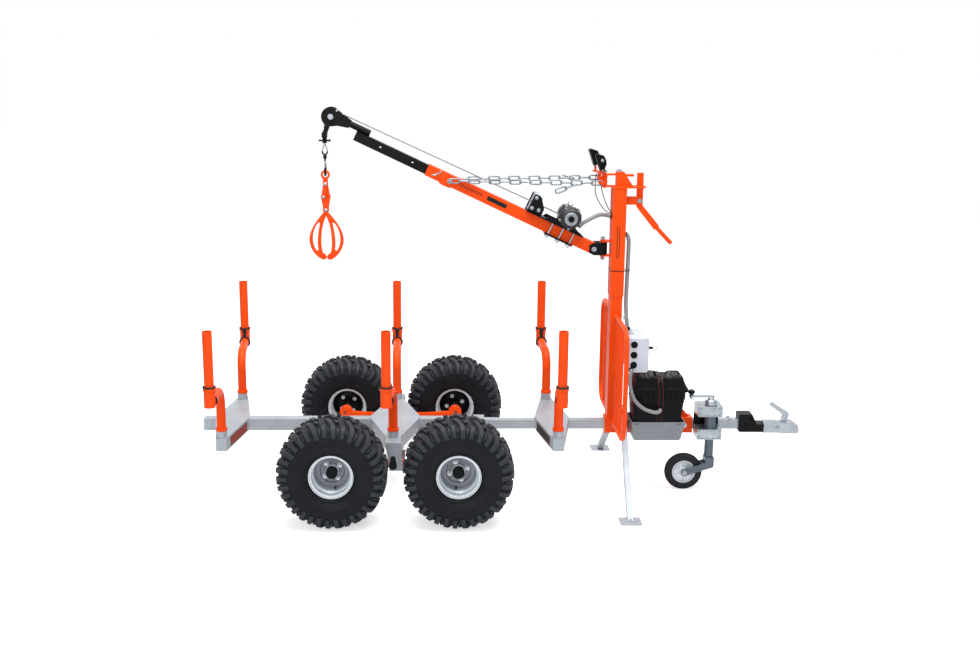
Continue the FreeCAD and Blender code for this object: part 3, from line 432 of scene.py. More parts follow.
tyre = {"pitches": 17, "lugHeight": 0.0135, "sideHeight": 0.0058, "lugWidth": 0.023, "lean": (0.079, -0.086),
    "turns": 102,
        "width": 0.6, "axle": 0.28, "rings": mm((128, 112.5), (174, 130.2)),
        "carcass": mm((266.5, 0), (266, 35), (263.5, 70), (256, 98), (240, 116.5), (215, 126.5), (190, 130.5),
                    (165, 129), (140, 119), (123, 108), (117, 100), (115.5, 89), (103.5, 85))}
tyreHalf = [(p.x, p.y) for p in smoothPath([(r, y, 0) for r, y in tyre["carcass"]], 4)]


def onCarcass(t, lift):  # radius and y at t across the tread from the middle line
    remaining = abs(t)
    for (r0, y0), (r1, y1) in zip(tyreHalf, tyreHalf[1:]):
        step = hypot(r1 - r0, y1 - y0)
        if remaining <= step:
            f, across = remaining / step, Vector((r1 - r0, y1 - y0)).normalized()
            return r0 + (r1 - r0) * f + across.y * lift, copysign(y0 + (y1 - y0) * f - across.x * lift, t)
        remaining -= step
    return tyreHalf[-1]


def tyreLug(path, width, height):  # path: (distance across, angle); tapered walls, flat top
    rings = []
    for i, (t, turn) in enumerate(path):
        (t0, a0), (t1, a1) = path[max(i - 1, 0)], path[min(i + 1, len(path) - 1)]
        radius = onCarcass(t, 0)[0]
        run = Vector((t1 - t0, (a1 - a0) * radius)).normalized()
        thin = min(max((abs(t) - 0.118) / 0.032, 0.0), 1.0)  # lugs thin out over the shoulder
        rings.append([])
        for side, lift, grow in ((-1, -0.004, 1.25), (-1, height - 0.002, 1.0), (-1, height, 0.82),
                                 (1, height, 0.82), (1, height - 0.002, 1.0), (1, -0.004, 1.25)):
            reach = side * width / 2 * grow
            low = (tyre["sideHeight"] - height) * (thin if lift > 0 else 0.0)
            r, y = onCarcass(t - run.y * reach, lift + low)
            rings[-1].append(around(r, turn + run.x * reach / radius, y))
    points, faces = loft(rings)
    return points, [face for face in faces if len(face) > 4 or face[1] % 6]  # lugs are open below, where they sink in


def tyreShape():
    carcass = [lathe(mirrored(tyreHalf[:0:-1], -1) + tyreHalf, tyre["turns"], closed=True)]
    for side in (-1, 1):
        for r, y in tyre["rings"]:
            ring = [(r - 0.003, y - 0.003), (r - 0.0015, y + 0.0015), (r + 0.0015, y + 0.0015), (r + 0.003, y - 0.003)]
            carcass.append(lathe(mirrored(ring, side), tyre["turns"], closed=True))
    pitch, (inner, outer) = 2 * pi / tyre["pitches"], tyre["lean"]
    rows = (  # across from and to, start angle, sweep, steps, width and height of each lug of a pitch
        (0.007, 0.155, inner, outer - inner, 10, 1, 1),
        (0.088, 0.150, outer - pitch / 2 + 0.022, -0.018, 6, 0.92, 0.95),
        (0.030, 0.060, inner - pitch * 0.42, -0.055, 3, 0.72, 0.95),
        (0.104, 0.136, outer - pitch * 0.235, 0.0, 4, 0.34, 0.6))
    lugs = []
    for i in range(tyre["pitches"]):
        for side in (-1, 1):
            for first, last, lead, sweep, steps, wide, high in rows:
                path = [(side * (first + (last - first) * f), i * pitch + side * (lead + sweep * sin(f * pi / 2)))
                        for f in [j / steps for j in range(steps + 1)]]
                lugs.append(tyreLug(path, tyre["lugWidth"] * wide, tyre["lugHeight"] * high))
    return joined(*carcass), joined(*lugs)


rim = {"turns": 72, "studs": 4, "studCircle": 0.048, "discY": -0.006, "firstStud": 64,
    "turned": {"rear": -0.2, "front": 0.15},
       "half": mm((112.5, 99.5), (113, 96), (112.5, 90.5), (103.2, 86.5), (103, 50), (95, 44)),
       "inside": mm((90, 46), (98.5, 54), (99, 88), (106, 90), (110, 99)),
       "disc": mm((16, 0), (34, 0), (38, 2), (58, 2), (63, 10), (78, 14), (90, 12), (90, 8),
                (78, 9), (65, 5), (60, -3), (16, -4)),
       "hub": mm((30, -2), (34.5, -2), (34.5, 12), (32, 15), (30, 15)),
       "back": mm((16, -6), (40, -8), (60, -7), (78, 4), (89.5, 4), (89.5, 0.5),
                (80, -0.5), (64, -11), (42, -13), (16, -13)),
       "bearing": mm((16, -44), (28, -44), (30, -41), (30, -10), (16, -10)),
       "cap": mm((30, 6), (30, 40), (28.5, 44), (24, 46.5), (12, 47.5), (1, 47.6), (1, 6))}


def rimShapes(side):  # pressed barrel with its nuts, then the disc, then the black parts
    def disc(name, turns=40):
        return lathe([(r, side * (y + rim["discY"])) for r, y in rim[name]], turns, closed=True)

    half, inside = rim["half"], rim["inside"]
    barrel = [*half, *mirrored(half[::-1], -1), *mirrored(inside[::-1], -1), *inside]
    steel = [lathe(barrel, rim["turns"], closed=True), disc("hub")]
    for i in range(rim["studs"]):
        stud = around(rim["studCircle"], radians(rim["firstStud"]) + i * pi / 2, side * (rim["discY"] + 0.002))
        steel += [hexBolt(stud, (0, side, 0), 0.017, 0.012),
            hexBolt(stud - Vector((0, side * 0.0145, 0)), (0, -side, 0), 0.015, 0.008)]
    valve = Vector((0, side * (rim["discY"] + 0.012), -0.083))
    black = [disc("back", rim["turns"]), disc("bearing"), disc("cap"),
        cylinder(valve, valve + Vector((0, side * 0.034, 0.004)), 0.0045, 12)]
    return joined(*steel), disc("disc", rim["turns"]), joined(*black)


carcass, tread = tyreShape()
for end, x in (("rear", bogieX - 0.317), ("front", bogieX + 0.317)):
    for sideName, side in sides:
        name = end + "_" + sideName
        spot = at(x, side * tyre["width"], tyre["axle"])
        # the lugs take the lighter rubber, which is painted sheen
        addPiece("tyre_tread_" + name, "wheel_" + name,
            {tyreRubber: [moved(carcass, spot)], treadSheenRubber: [moved(tread, spot)]}, 35,
                 ["tyre_" + name])
        steel, shade, black = [moved(s, spot @ Matrix.Rotation(rim["turned"][end], 4, "Y")) for s in rimShapes(side)]
        # the wheel disc takes the darker zinc: painted shade inside the deep barrel
        addPiece("pressed_rim_" + name, "wheel_" + name, {rimSteel: [steel], zincWeatheredAndShade: [shade], boxBlack: [black]}, 30,
            ["rim_" + name])


# Bogies: slim beams with round eyes at the hubs, welded boss and stub axles

bogie = {"half": 0.317, "y": (0.3952, 0.4348), "eye": 0.0375, "boss": 0.0255, "top": 0.272, "bottom": 0.238,
         "axle": mm((1, 400), (13.8, 400), (13.8, 628), (12, 630.5), (1, 631))}


def bogieShape(side):
    y0, y1 = bogie["y"]
    half, top, bottom = bogie["half"], bogie["top"], bogie["bottom"]
    middle = half * 0.45
    outline = [(-half, 0.25), (-middle, bottom), (middle, bottom), (half, 0.25), (half, 0.312),
        (half - 0.036, top + 0.01),
               (middle, top), (-middle, top), (-half + 0.036, top + 0.01), (-half, 0.312)]
    shapes = [plate([(bogieX + x, z) for x, z in outline], *sorted((side * (y0 + 0.002), side * (y1 - 0.002))))]
    for x, z, radius in ((-half, 0.28, bogie["eye"]), (half, 0.28, bogie["eye"]), (0, 0.262, bogie["boss"])):
        eye = [(0.0125, y0), (radius - 0.003, y0), (radius, y0 + 0.003), (radius, y1 - 0.003), (radius - 0.003, y1),
            (0.0125, y1)]
        shapes.append(moved(lathe(mirrored(eye, side), 40, closed=True), at(bogieX + x, 0, z)))
    return shapes


for sideName, side in sides:
    axles = [moved(lathe(mirrored(bogie["axle"], side), 28), at(bogieX + x, 0, 0.28))
        for x in (-bogie["half"], bogie["half"])]
    addPiece("bogie_beam_" + sideName, "bogie_" + sideName, {orange: bogieShape(side), slateZinc: axles}, 35,
        ["bogie_" + sideName])
print("wheels done")


# Jockey wheel: solid rubber on a pressed steel disc

jockey = {"x": bogieX + 1.687, "y": -0.100, "radius": 0.102, "trail": 0.134, "clamps": (0.320, 0.448),
          "rubber": mm((101.9, 0), (101.5, 7), (99.5, 13.5), (95, 18.5), (88, 21.5), (70, 21.8),
                     (65, 20.5), (63.2, 18)),
          "disc": mm((62.2, 14), (62.8, 19.5), (60, 19.5), (58, 12), (52, 6), (40, 3.5), (24, 6),
                   (18.5, 10), (17, 24), (6.5, 24))}
jx, jy = jockey["x"], jockey["y"]
wheelSpot = at(jx - jockey["trail"], jy, jockey["radius"])
rubber = jockey["rubber"]
tread = [lathe(mirrored(rubber[:0:-1], -1) + list(rubber), 64, closed=True)]
tread += [lathe([(r, side * 0.0212), (r + 0.001, side * 0.0226), (r + 0.003, side * 0.0226),
    (r + 0.004, side * 0.0212)], 64,
                closed=True) for side in (-1, 1) for r in (0.072, 0.084)]
addPiece("jockey_tread", "jockey_wheel", {softRubber: [moved(joined(*tread), wheelSpot)]}, 35, ["jockey_tyre"])
disc = jockey["disc"]
parts = [lathe(mirrored(disc[::-1], -1) + list(disc), 64, closed=True)]
parts += [tube([around(0.024, i * pi / 3, side * 0.0055), around(0.054, i * pi / 3, side * 0.006)], 0.0035, 8)
          for i in range(6) for side in (-1, 1)]  # dished ribs of the pressing
addPiece("jockey_disc", "jockey_wheel", {rimSteel: [moved(joined(*parts), wheelSpot)]}, 35, ["jockey_rim"])
nuts = [moved(nut, wheelSpot) for nut in bothSides(hexBolt, 0, 0.0362, 0, 0.017, 0.008)]
addPiece("jockey_axle_nuts", "jockey_fork", {zincBright: nuts}, 35)

# Jockey clamp: ribs and clamp bolts
parts = []
for z in jockey["clamps"]:
    parts += [hexBolt((jx + dx, jy - 0.034, z + dz), (0, -1, 0)) for dx in (-0.064, 0.048) for dz in (-0.016, 0.016)]
    parts.append(tube([(jx + a, jy + b, z) for a, b in circle(0.0315, 24)], 0.0045, 10, closed=True))
    parts += [block(jx - 0.072, jx + 0.056, jy - 0.042, jy - 0.034, z + dz - 0.0015, z + dz + 0.0015)
        for dz in (-0.0265, 0.0265)]
addPiece("jockey_clamp_bolts", "chassis", {zincBright: parts}, 35, bevel=0.0006)


# Stay chains: round-wire links, with the spare links hanging free at the top

chain = {"links": 15, "wire": 0.0039, "halfGap": 0.007, "top": (slewX - 0.024, 1.674), "footS": 0.845, "y": 0.05,
    "step": 0.0096,
         "pin": 0.0045, "spare": {-1: (2, -0.34), 1: (1, 0.28)}}  # spare links by side, and how they lie


def chainLink(centre, along, flat, pitch):  # a stadium of round wire
    along, flat = Vector(along).normalized(), Vector(flat).normalized()
    r = chain["halfGap"] + chain["wire"]
    straight = pitch / 2 + chain["wire"] - r
    path = [centre + along * end * (straight + r * cos(t)) + flat * end * r * sin(t)
            for end in (1, -1) for t in [-pi / 2 + pi * i / 6 for i in range(7)]]
    return tube(path, chain["wire"], 10, closed=True)


links = []
acrossY = Vector((0, 1, 0))
for side in (-1, 1):
    top = Vector((chain["top"][0], 0, chain["top"][1] + side * chain["step"]))
    run = boomPoint(chain["footS"], 0) - top
    top.y = side * chain["y"]
    along = run.normalized()
    pitch = (run.length + 2 * chain["pin"] + 0.0006) / chain["links"]
    for i in range(chain["links"]):
        centre = top + along * (pitch * (i + 0.5) - chain["pin"] - 0.0003)
        links.append(chainLink(centre, along, acrossY if i % 2 else along.cross(acrossY), pitch))
    count, rise = chain["spare"][side]
    lean = Vector((-0.95, 0, rise)).normalized()
    for i in range(count):
        centre = top + along * (pitch * 2.5) + lean * (pitch * (i + 0.72)) + Vector((0.01, side * 0.004, -0.006))
        links.append(chainLink(centre, lean, lean.cross(acrossY) if i % 2 else acrossY, pitch))
addPiece("chain_links", "crane", {chainZinc: links}, 60, ["stay_chains"])


# Wire rope: along the boom and over the sheave, then the fall to its eye

rope = {"radius": 0.003, "start": (0.23, 0.086), "lift": 0.036, "fall": (2.004, 1.860),
        "loop": mm((1.5, 1866), (4, 1856), (10.5, 1838), (13.5, 1824), (10.5, 1813.5), (0, 1809.5)),
        "ferrule": mm((4.2, -11), (6.2, -9), (6.4, 9), (4.2, 11)),
        "swivel": mm((5.2, -10.5), (9, -8.5), (9.5, 0), (9, 6), (5.5, 9.5), (5.2, 2))}
s0, h0 = rope["start"]
path = [boomPoint(s0 + (sheaveS - s0) * i / 24, h0 + (sheaveH + rope["lift"] - h0) * i / 24) for i in range(25)]
for i in range(1, 13):  # round the sheave to where the rope hangs
    path.append(boomPoint(sheaveS, sheaveH) + around(rope["lift"], boomAngle - (boomAngle + pi / 2) * i / 12))
path[-1].x = grappleX
piece = addPiece("hoist_rope", None, {ropeSteel: [tube(path, rope["radius"], 10)]}, 60, ["rope_run", "rope_head"])
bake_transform(piece)
high, low = rope["fall"]
fall = tube([(grappleX, 0, high - (high - low) * i / 12) for i in range(13)], rope["radius"], 10)
piece = addPiece("rope_fall", None, {ropeSteel: [fall]}, 60)
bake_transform(piece)
loop = rope["loop"]
eye = smoothPath([(grappleX + x, 0, z) for x, z in [*loop, *[(-x, z) for x, z in loop[-2::-1]]]], 4)
ferrule = moved(lathe(rope["ferrule"], 20), at(grappleX, 0, 1.872) @ upright)
swivel = moved(lathe(rope["swivel"], 28, closed=True), at(grappleX, 0, 1.7965) @ upright)
thimble = tube([(grappleX + 0.0125 * sin(t), 0, 1.8205 - 0.0125 * cos(t))
    for t in [-1.9 + 3.8 * i / 16 for i in range(17)]], 0.0042, 10)
addPiece("rope_thimble", "rope_eye", {ropeSteel: [tube(eye, 0.0024, 10)], zincBright: [ferrule],
    blackCoat: [swivel, thimble]},
         replaces=["rope_eye"])

# Snap hook, thickest in the bend, with its sprung gate
hook = smoothPath([(grappleX, y, z) for y, z in (
    (0, 1.801), (0, 1.782), (0.004, 1.77), (0.0135, 1.757), (0.0165, 1.735), (0.013, 1.712), (0, 1.7015),
    (-0.0125, 1.711),
    (-0.015, 1.728), (-0.012, 1.739))], 5)
gate = tube([(grappleX, -0.0125, 1.738), (grappleX, -0.01, 1.756), (grappleX, 0, 1.773)], 0.0028, 10)
spring = domeNut((grappleX + 0.004, 0.002, 1.772), (1, 0, 0), 0.0045, 0.003)
bend = tube(hook, 0.005, 14, ribs=lambda run: 0.0048 + 0.0022 * exp(-((run - 0.088) / 0.035) ** 2))
addPiece("snap_hook_body", "grapple", {blackCoat: [bend], zincBright: [gate, spring]}, 60, ["snap_hook"])

# Tongs: domed rivets on the four-bar links
rise = sqrt(linkLength ** 2 - linkSpread ** 2)
for name, body, y, z in (("tong_top_rivet", "grapple", 0.0165, tongZ + 2 * rise),
    ("tong_main_rivet", "tong_pin", 0.0115, tongZ)):
    addPiece(name, body, {zincBright: bothSides(domeNut, grappleX, y, z, 0.0095, 0.007)}, 60)
for name, sign in (("front", 1), ("rear", -1)):
    rivet = domeNut((grappleX - sign * linkSpread, -sign * 0.0135, tongZ + rise), (0, -sign, 0), 0.0085, 0.0065)
    addPiece("link_rivet_" + name, "link_" + name, {zincBright: [rivet]}, 60)
print("chains, rope and tongs done")

# Sheave head: axle nuts, top bolt, split pin at the guide
parts = [hexBolt(boomPoint(sheaveS, sheaveH, side * 0.034), (0, side, 0), 0.019, 0.008) for side in (-1, 1)]
parts.append(cylinder(*[boomPoint(sheaveS - 0.016, sheaveH + 0.043, y) for y in (-0.0235, 0.0235)], 0.0055, 14))
addPiece("sheave_nuts", "boom_inner", {zincBright: parts})
clip = [(grappleX + 0.03 + 0.008 * cos(t), 0.012, 1.88 + 0.008 * sin(t))
    for t in [0.6 + 5.2 * i / 20 for i in range(21)]]
addPiece("guide_clip", "rope_guide", {zincBright: [tube(clip, 0.0014, 8)]}, 60)


# Winch: gearbox with its clutch knob, drum of rope between two housings, motor on the far side

winch = {"s": 0.196, "h": 0.0982, "drum": 0.026, "turns": 12,
         "gear": mm((20, -64), (50, -64), (58, -68), (58, -98), (55, -102), (51, -104),
                  (51, -126), (47, -132), (40, -136), (34.5, -137)),
         "motor": mm((20, 64), (44, 64), (45.5, 70), (45.5, 132), (42, 139), (34, 142), (30, 149),
                   (6, 149.5)),
         "cheek": mm((20, 40), (48, 40), (48, 43), (20, 43)),
         "cover": mm((34.5, -134.5), (34.5, -140), (32.5, -142.5), (25.5, -143), (24, -140), (14, -139.5)),
         "knob": mm((16.5, -139), (16, -147), (13, -149), (2, -149.2)),
         "foot": mm((-45, -59.8), (45, -59.8), (43, -30), (22, -6), (-22, -6), (-43, -30))}
winchFrame = boomFrame @ at(-winch["s"], 0, winch["h"])


def rods(count, first, radius, y0, y1, thick, facets):  # bars parallel to the drum, spaced round it
    turns = [2 * pi * (i + first) / count for i in range(count)]
    return [tube([around(radius, turn, y) for y in (y0, y1)], thick, facets) for turn in turns]


cast = [lathe(winch["gear"], 56)]
cast += rods(14, 0, 0.0575, -0.071, -0.095, 0.0032, 8)  # cooling ribs
cast += rods(5, 0.3, 0.056, -0.066, -0.106, 0.0085, 14)  # bolt bosses
cast.append(lathe(winch["motor"], 56))
cast += rods(4, 0.5, 0.0465, 0.066, 0.136, 0.004, 10)
for side in (-1, 1):
    cast += [lathe(mirrored(winch["cheek"], side), 48, closed=True), plate(winch["foot"], side * 0.058, side * 0.044)]
bright = [lathe(winch["cover"], 48)]
bright += [hexBolt(around(0.056, 2 * pi * (i + 0.3) / 5, -0.106), (0, -1, 0), 0.009, 0.004) for i in range(5)]
bright += [domeNut(around(0.0295, pi / 3 * i, -0.1428), (0, -1, 0), 0.0028, 0.0016) for i in range(6)]
bright += [cylinder((x, -0.07, z), (x, 0.07, z), 0.0045, 14) for x, z in ((-0.034, 0.044), (0.03, 0.047))]  # tie rods
bright += [cylinder((x, 0.118, 0.044), (x, 0.118, 0.058), 0.0035, 12) for x in (-0.012, 0.012)]  # motor terminals
knob = [lathe(winch["knob"], 32), moved(block(-0.012, 0.012, -0.1497, -0.146, -0.0028, 0.0028),
    Matrix.Rotation(0.5, 4, "Y"))]
coils, steps = [], 12 * winch["turns"]
for lift, lay in ((0.003, 1), (0.0082, -0.85)):  # two layers, laid in opposite directions
    coils.append(tube([around(winch["drum"] + lift, pi / 6 * i, (0.036 - 0.072 * i / steps) * lay)
        for i in range(steps + 1)], 0.003, 8))
onWinch = {finish: [moved(joined(*shapes), winchFrame)]
           for finish, shapes in ((darkCast, cast), (zincBright, bright), (boxBlack, knob), (ropeSteel, coils))}
addPiece("winch_castings", "crane", onWinch, 40, ["winch"])
feet = [hexBolt((x, y, -0.03), (0, 0, 1), 0.01, 0.005) for x in (-0.036, 0.036) for y in (-0.051, 0.051)]
addPiece("winch_foot_bolts", "crane", {zincBright: [moved(joined(*feet), winchFrame)]}, 40)

# Roller fairlead: black cheeks and back plate, four bright rollers between bright strips
cheek = [(-0.414, 0.0385), (-0.336, 0.0385), (-0.336, 0.078), (-0.372, 0.126), (-0.384, 0.133), (-0.408, 0.133),
    (-0.414, 0.126)]
cheeks = [plate(cheek, side * 0.0695, side * 0.0635) for side in (-1, 1)]
cheeks += [block(-0.414, -0.336, -0.0695, 0.0695, 0.0385, 0.043), block(-0.388, -0.384, -0.0635, 0.0635, 0.043, 0.052)]
rollers = [tube([(-0.398, side * 0.038, 0.046), (-0.398, side * 0.038, 0.128)], 0.0115, 20) for side in (-1, 1)]
for x, z in ((-0.398, 0.058), (-0.398, 0.116), (-0.36, 0.062)):
    rollers += bothSides(hexBolt, x, 0.0695, z)
rollers += [tube([(-0.375, -0.06, z), (-0.375, 0.06, z)], 0.011, 20) for z in (0.0585, 0.1155)]
rollers += [block(-0.4125, -0.384, -0.066, 0.066, z, z + 0.005) for z in (0.0405, 0.1285)]
addPiece("fairlead_rollers", "crane", {blackCoat: [moved(joined(*cheeks), boomFrame)],
    zincBright: [moved(joined(*rollers), boomFrame)]},
         40, ["fairlead"], 0.0007)

# Clamp rods of the winch plate, luffing pin, chain foot and the locking wing bolt
down = (-sin(boomAngle), 0, -cos(boomAngle))
parts = bothSides(hexBolt, luffX, 0.042, luffZ, 0.017, 0.008)
for s in (0.133, 0.195, 0.257):
    for y in (-0.038, 0.038):
        parts += [hexBolt(boomPoint(s, -0.0382, y), down, 0.013, 0.007),
                  cylinder(boomPoint(s, -0.047, y), boomPoint(s, -0.056, y), 0.0038, 12),
                  cylinder(boomPoint(s, -0.0298, y), boomPoint(s, 0.0298, y), 0.0044, 12)]
for side in (-1, 1):
    parts.append(cylinder(boomPoint(0.845, 0, side * 0.034), boomPoint(0.845, 0, side * 0.066), 0.0046, 16))
    parts.append(hexBolt(boomPoint(0.845, 0, side * 0.0605), (0, side, 0), 0.017))
wing = boomPoint(0.922, 0.004, -0.0302)
parts.append(cylinder(wing, wing + Vector((0, -0.01, 0)), 0.0055, 16))
for end in (-1, 1):
    blade = [(end * x, -0.008 - 0.5 * x, z) for x, z in ((0.004, -0.003), (0.014, -0.002), (0.024, 0.003),
        (0.027, 0.008))]
    parts.append(tube([wing + Vector((x * 0.9, y, x * 0.35 + z)) for x, y, z in blade], 0.0038, 10))
addPiece("crane_bolts", "crane", {zincBright: parts}, 40)
print("winch done")


# Work lamps: finned die-cast shells with a clear lens, tilted at the log bunks

lamp = {"w": 0.029, "h": 0.043, "tilt": 0.32, "cell": mm((8.5, 0), (8, 1.2), (3, -3.5), (0.5, -3.6))}
w, h = lamp["w"], lamp["h"]
shell = [(-0.018, -h), (-0.018, h), (-0.006, h), (0.012, h * 0.66), (0.017, h * 0.2), (0.017, -h * 0.35),
    (0.01, -h * 0.82), (-0.004, -h)]
fin = [(0.006, h * 0.72), (0.02, h * 0.55), (0.0245, 0.0), (0.019, -h * 0.6), (0.006, -h * 0.78)]
black = [plate(shell, -w, w)]
black += [block(-0.0215, -0.017, *edges) for edges in (
    (-w - 0.001, w + 0.001, h - 0.008, h + 0.001), (-w - 0.001, w + 0.001, -h - 0.001, 0.008 - h),
    (-w - 0.001, -w + 0.007, 0.008 - h, h - 0.008), (w - 0.007, w + 0.001, 0.008 - h, h - 0.008))]
black += [plate(fin, 0.006 * i - 0.0249, 0.006 * i - 0.0231) for i in range(9)]
for s in (-1, 1):  # stirrup
    black.append(tube([(0.004, s * (w + 0.0022), 0.004), (0.004, s * (w + 0.0022), -h * 0.6),
        (0.002, s * (w - 0.006), -h - 0.006),
                       (0, 0, -h - 0.008)], 0.0026, 8))
cell = moved(lathe(lamp["cell"], 20), Matrix.Rotation(pi / 2, 4, "Z"))
bright = bothSides(hexBolt, 0.004, w + 0.001, 0.004, 0.011, 0.005)
bright += [moved(cell, at(-0.0172, y, z)) for y in (-0.011, 0.011) for z in (-0.022, 0, 0.022)]
pane = block(-0.02, -0.0175, -w + 0.006, w - 0.006, 0.007 - h, h - 0.007)
for name, y, x, z in (("right", -0.035, slewX - 0.026, 1.777), ("left", 0.035, slewX - 0.050, 1.797)):
    spot = at(x, y, z) @ Matrix.Rotation(-lamp["tilt"], 4, "Y")
    addPiece("lamp_" + name, "crane", {finish: [moved(joined(*shapes), spot)] for finish, shapes in (
        (boxBlack, black), (zincBright, bright), (glass, [pane]))}, 35, ["work_lights"] if name == "right" else (),
        0.0012)


# Battery box: ribbed polypropylene tub and lid, wire handles, and the strap round it

battery = {"x": (0.679, 0.956), "y": (-0.230, -0.055), "z": (0.3235, 0.585), "strapX": 0.820,
           "taper": (0.017, 0.029, 0.004),  # how far the tub draws in towards its foot: rear, front, sides
           "panels": mm((687, 733), (765.5, 800), (840, 857), (889, 947)),  # between the lid's pockets
           "handles": ((0.750, 0.806), (0.862, 0.930))}
(x0, x1), (y0, y1), (z0, z1) = battery["x"], battery["y"], battery["z"]


def tubRing(z, grow):
    f = (z1 - z) / (z1 - z0)
    rear, front, deep = [f * t for t in battery["taper"]]
    return roundedRing(x0 + rear - grow, x1 - front + grow, y0 + deep - grow, y1 - deep + grow, z, 0.014)


def rib(xa, xb, ya, yb, low, high, radius):
    return loft([roundedRing(xa, xb, ya, yb, z, radius, 2) for z in (low, high)])


parts = [loft([tubRing(z, grow) for z, grow in ((z0, -0.004), (z0 + 0.004, 0), (z1 - 0.06, 0), (z1 - 0.058, 0.0025),
                                                (z1 - 0.052, 0.0025), (z1 - 0.05, 0), (z1 - 0.006, 0), (z1, 0))])]
parts.append(loft([roundedRing(x0 + a - 0.005, x1 - b + 0.014, y0 + c - 0.008, y1 - c + 0.008, z1 + up, 0.016)
    for a, b, c, up in (
    (0, 0, 0, -0.001), (0, 0, 0, 0.015), (0.002, 0.002, 0.002, 0.018), (0.006, 0.006, 0.007, 0.0185),
    (0.021, 0.024, 0.024, 0.062),
    (0.025, 0.029, 0.029, 0.069), (0.033, 0.038, 0.037, 0.0705))]))
for x in [x0 + 0.026 + i * (x1 - x0 - 0.052) / 6 for i in range(7)]:  # down the tub
    parts.append(rib(x - 0.0035, x + 0.0035, y0 + 0.0025, y0 + 0.01, 0.424, z1 - 0.062, 0.002))
for x in [x0 + 0.016 + i * (x1 - x0 - 0.032) / 8 for i in range(9)]:  # under the lid's rim
    parts.append(rib(x - 0.0025, x + 0.0025, y0 - 0.0065, y0 + 0.004, z1 - 0.048, z1, 0.001))
for y in [y0 + 0.03 + i * (y1 - y0 - 0.06) / 4 for i in range(5)]:  # across the front end
    parts.append(rib(x1 - 0.008, x1 + 0.0045, y - 0.003, y + 0.003, z1 - 0.05, z1, 0.001))
for xa, xb in battery["panels"]:
    wide, narrow = (xa, xb), (xa + 0.004, xb - 0.004)
    for rings in (((wide, y0 - 0.006, y0 + 0.006, 0.017), (narrow, y0 + 0.0155, y0 + 0.034, 0.072)),
                  ((narrow, y0 + 0.034, y1 - 0.036, 0.068), (narrow, y0 + 0.034, y1 - 0.036, 0.074))):
        parts.append(loft([[(a, ya, z1 + up), (b, ya, z1 + up), (b, yb, z1 + up), (a, yb, z1 + up)] for (a, b), ya, yb,
            up in rings]))
for xa, xb in battery["handles"]:
    half = [(0, -0.135, 0.652), (0, -0.138, 0.664), (0.009, -0.141, 0.675)]
    parts.append(tube(smoothPath([(xa + x, y, z) for x, y, z in half] + [(xb - x, y, z) for x, y, z in half[::-1]], 5),
        0.0036, 10))
addPiece("battery_case", "chassis", {boxBlack: parts}, 38, ["battery_box"], 0.001)


def strapLoop(half, lift):  # a flat band that follows the tub, the lid's slope and its top
    slope = [(-0.0015, 0.424), (0.0015, 0.5), (0.0045, z1 - 0.052), (0.0085, z1 - 0.004), (0.0095, z1 + 0.018),
        (-0.013, z1 + 0.07),
             (-0.04, z1 + 0.0765)]
    route = [(y0 - out, z) for out, z in slope] + [(-0.14, z1 + 0.0775)]
    route += [(y1 + out, z) for out, z in slope[::-1] if z != 0.5]
    rings = []
    for i, (y, z) in enumerate(route):
        (ya, za), (yb, zb) = route[max(i - 1, 0)], route[min(i + 1, len(route) - 1)]
        along = Vector((yb - ya, zb - za)).normalized() * lift
        x = battery["strapX"] + 0.006 * sin((z - 0.42) * 14)
        rings.append([(x - half, y, z), (x + half, y, z), (x + half, y - along.y, z + along.x),
            (x - half, y - along.y, z + along.x)])
    return loft(rings)


addPiece("battery_strap", "chassis", {boxBlack: [strapLoop(0.0105, 0.0016)], strapRed: [strapLoop(0.0122, 0.001)]}, 60)


# Control box: grey ABS case with a lidded front, cable glands, vent slots and the isolator key

control = {"x": (0.645, 0.749), "y": (-0.250, -0.020), "z": (0.695, 0.882), "glandX": 0.671,
    "glands": (0.846, 0.791, 0.737),
           "slots": (-0.166, -0.129, -0.094, -0.059),
           "gland": mm((17.8, -0.5), (17.8, -4), (16, -5.5), (13, -6), (12, -4.2), (1, -4.2)),
           "key": mm((13, 0), (13, 6), (10.5, 9), (7.8, 11), (7.2, 38), (6, 40.5), (1, 41))}
(x0, x1), (y0, y1), (z0, z1) = control["x"], control["y"], control["z"]
case = loft([[(x, y, z) for x, z in roundedPairs(x0 + d, x1 - d, z0 + d, z1 - d, 0.012, 6)] for y, d in (
    (y1, 0.003), (y1 - 0.003, 0), (y0 + 0.052, 0), (y0 + 0.0515, 0.0018), (y0 + 0.05, 0.0018), (y0 + 0.0495, 0),
    (y0 + 0.006, 0),
    (y0 + 0.002, 0.002), (y0, 0.006))])
black = [moved(lathe(control["gland"], 32), at(control["glandX"], y0 + 0.0005, z)) for z in control["glands"]]
black += [loft([roundedRing(0.65, 0.684, y, y + 0.012, z, 0.005, 3) for z in (z1 - 0.001, z1 + 0.0006)])
    for y in control["slots"]]
black.append(moved(lathe(control["key"], 24), at(x1 - 0.0005, -0.13, 0.8) @ Matrix.Rotation(-pi / 2, 4, "Z")))
wire = [tube([(0.801 + a, -0.13 + 0.3 * b, 0.796 + b) for a, b in circle(0.01, 24)], 0.0021, 8, closed=True)]
wire.append(tube(smoothPath([(0.802, -0.129, 0.7862), (0.806, -0.127, 0.765), (0.8035, -0.124, 0.737),
    (0.785, -0.121, 0.713),
                             (x1 - 0.002, -0.118, 0.706)], 6), 0.0013, 6))
screws = [domeNut((x, y0 - 0.0002, z), (0, -1, 0), 0.0032, 0.0016) for x in (x0 + 0.012, x1 - 0.012)
    for z in (z0 + 0.012, z1 - 0.012)]
addPiece("control_case", "chassis", {boxWhite: [case], boxBlack: black, zincBright: wire + screws}, 40, ["control_box"])


# Ribbed conduit hoses, with a gland at each end, and the lamps' thin leads

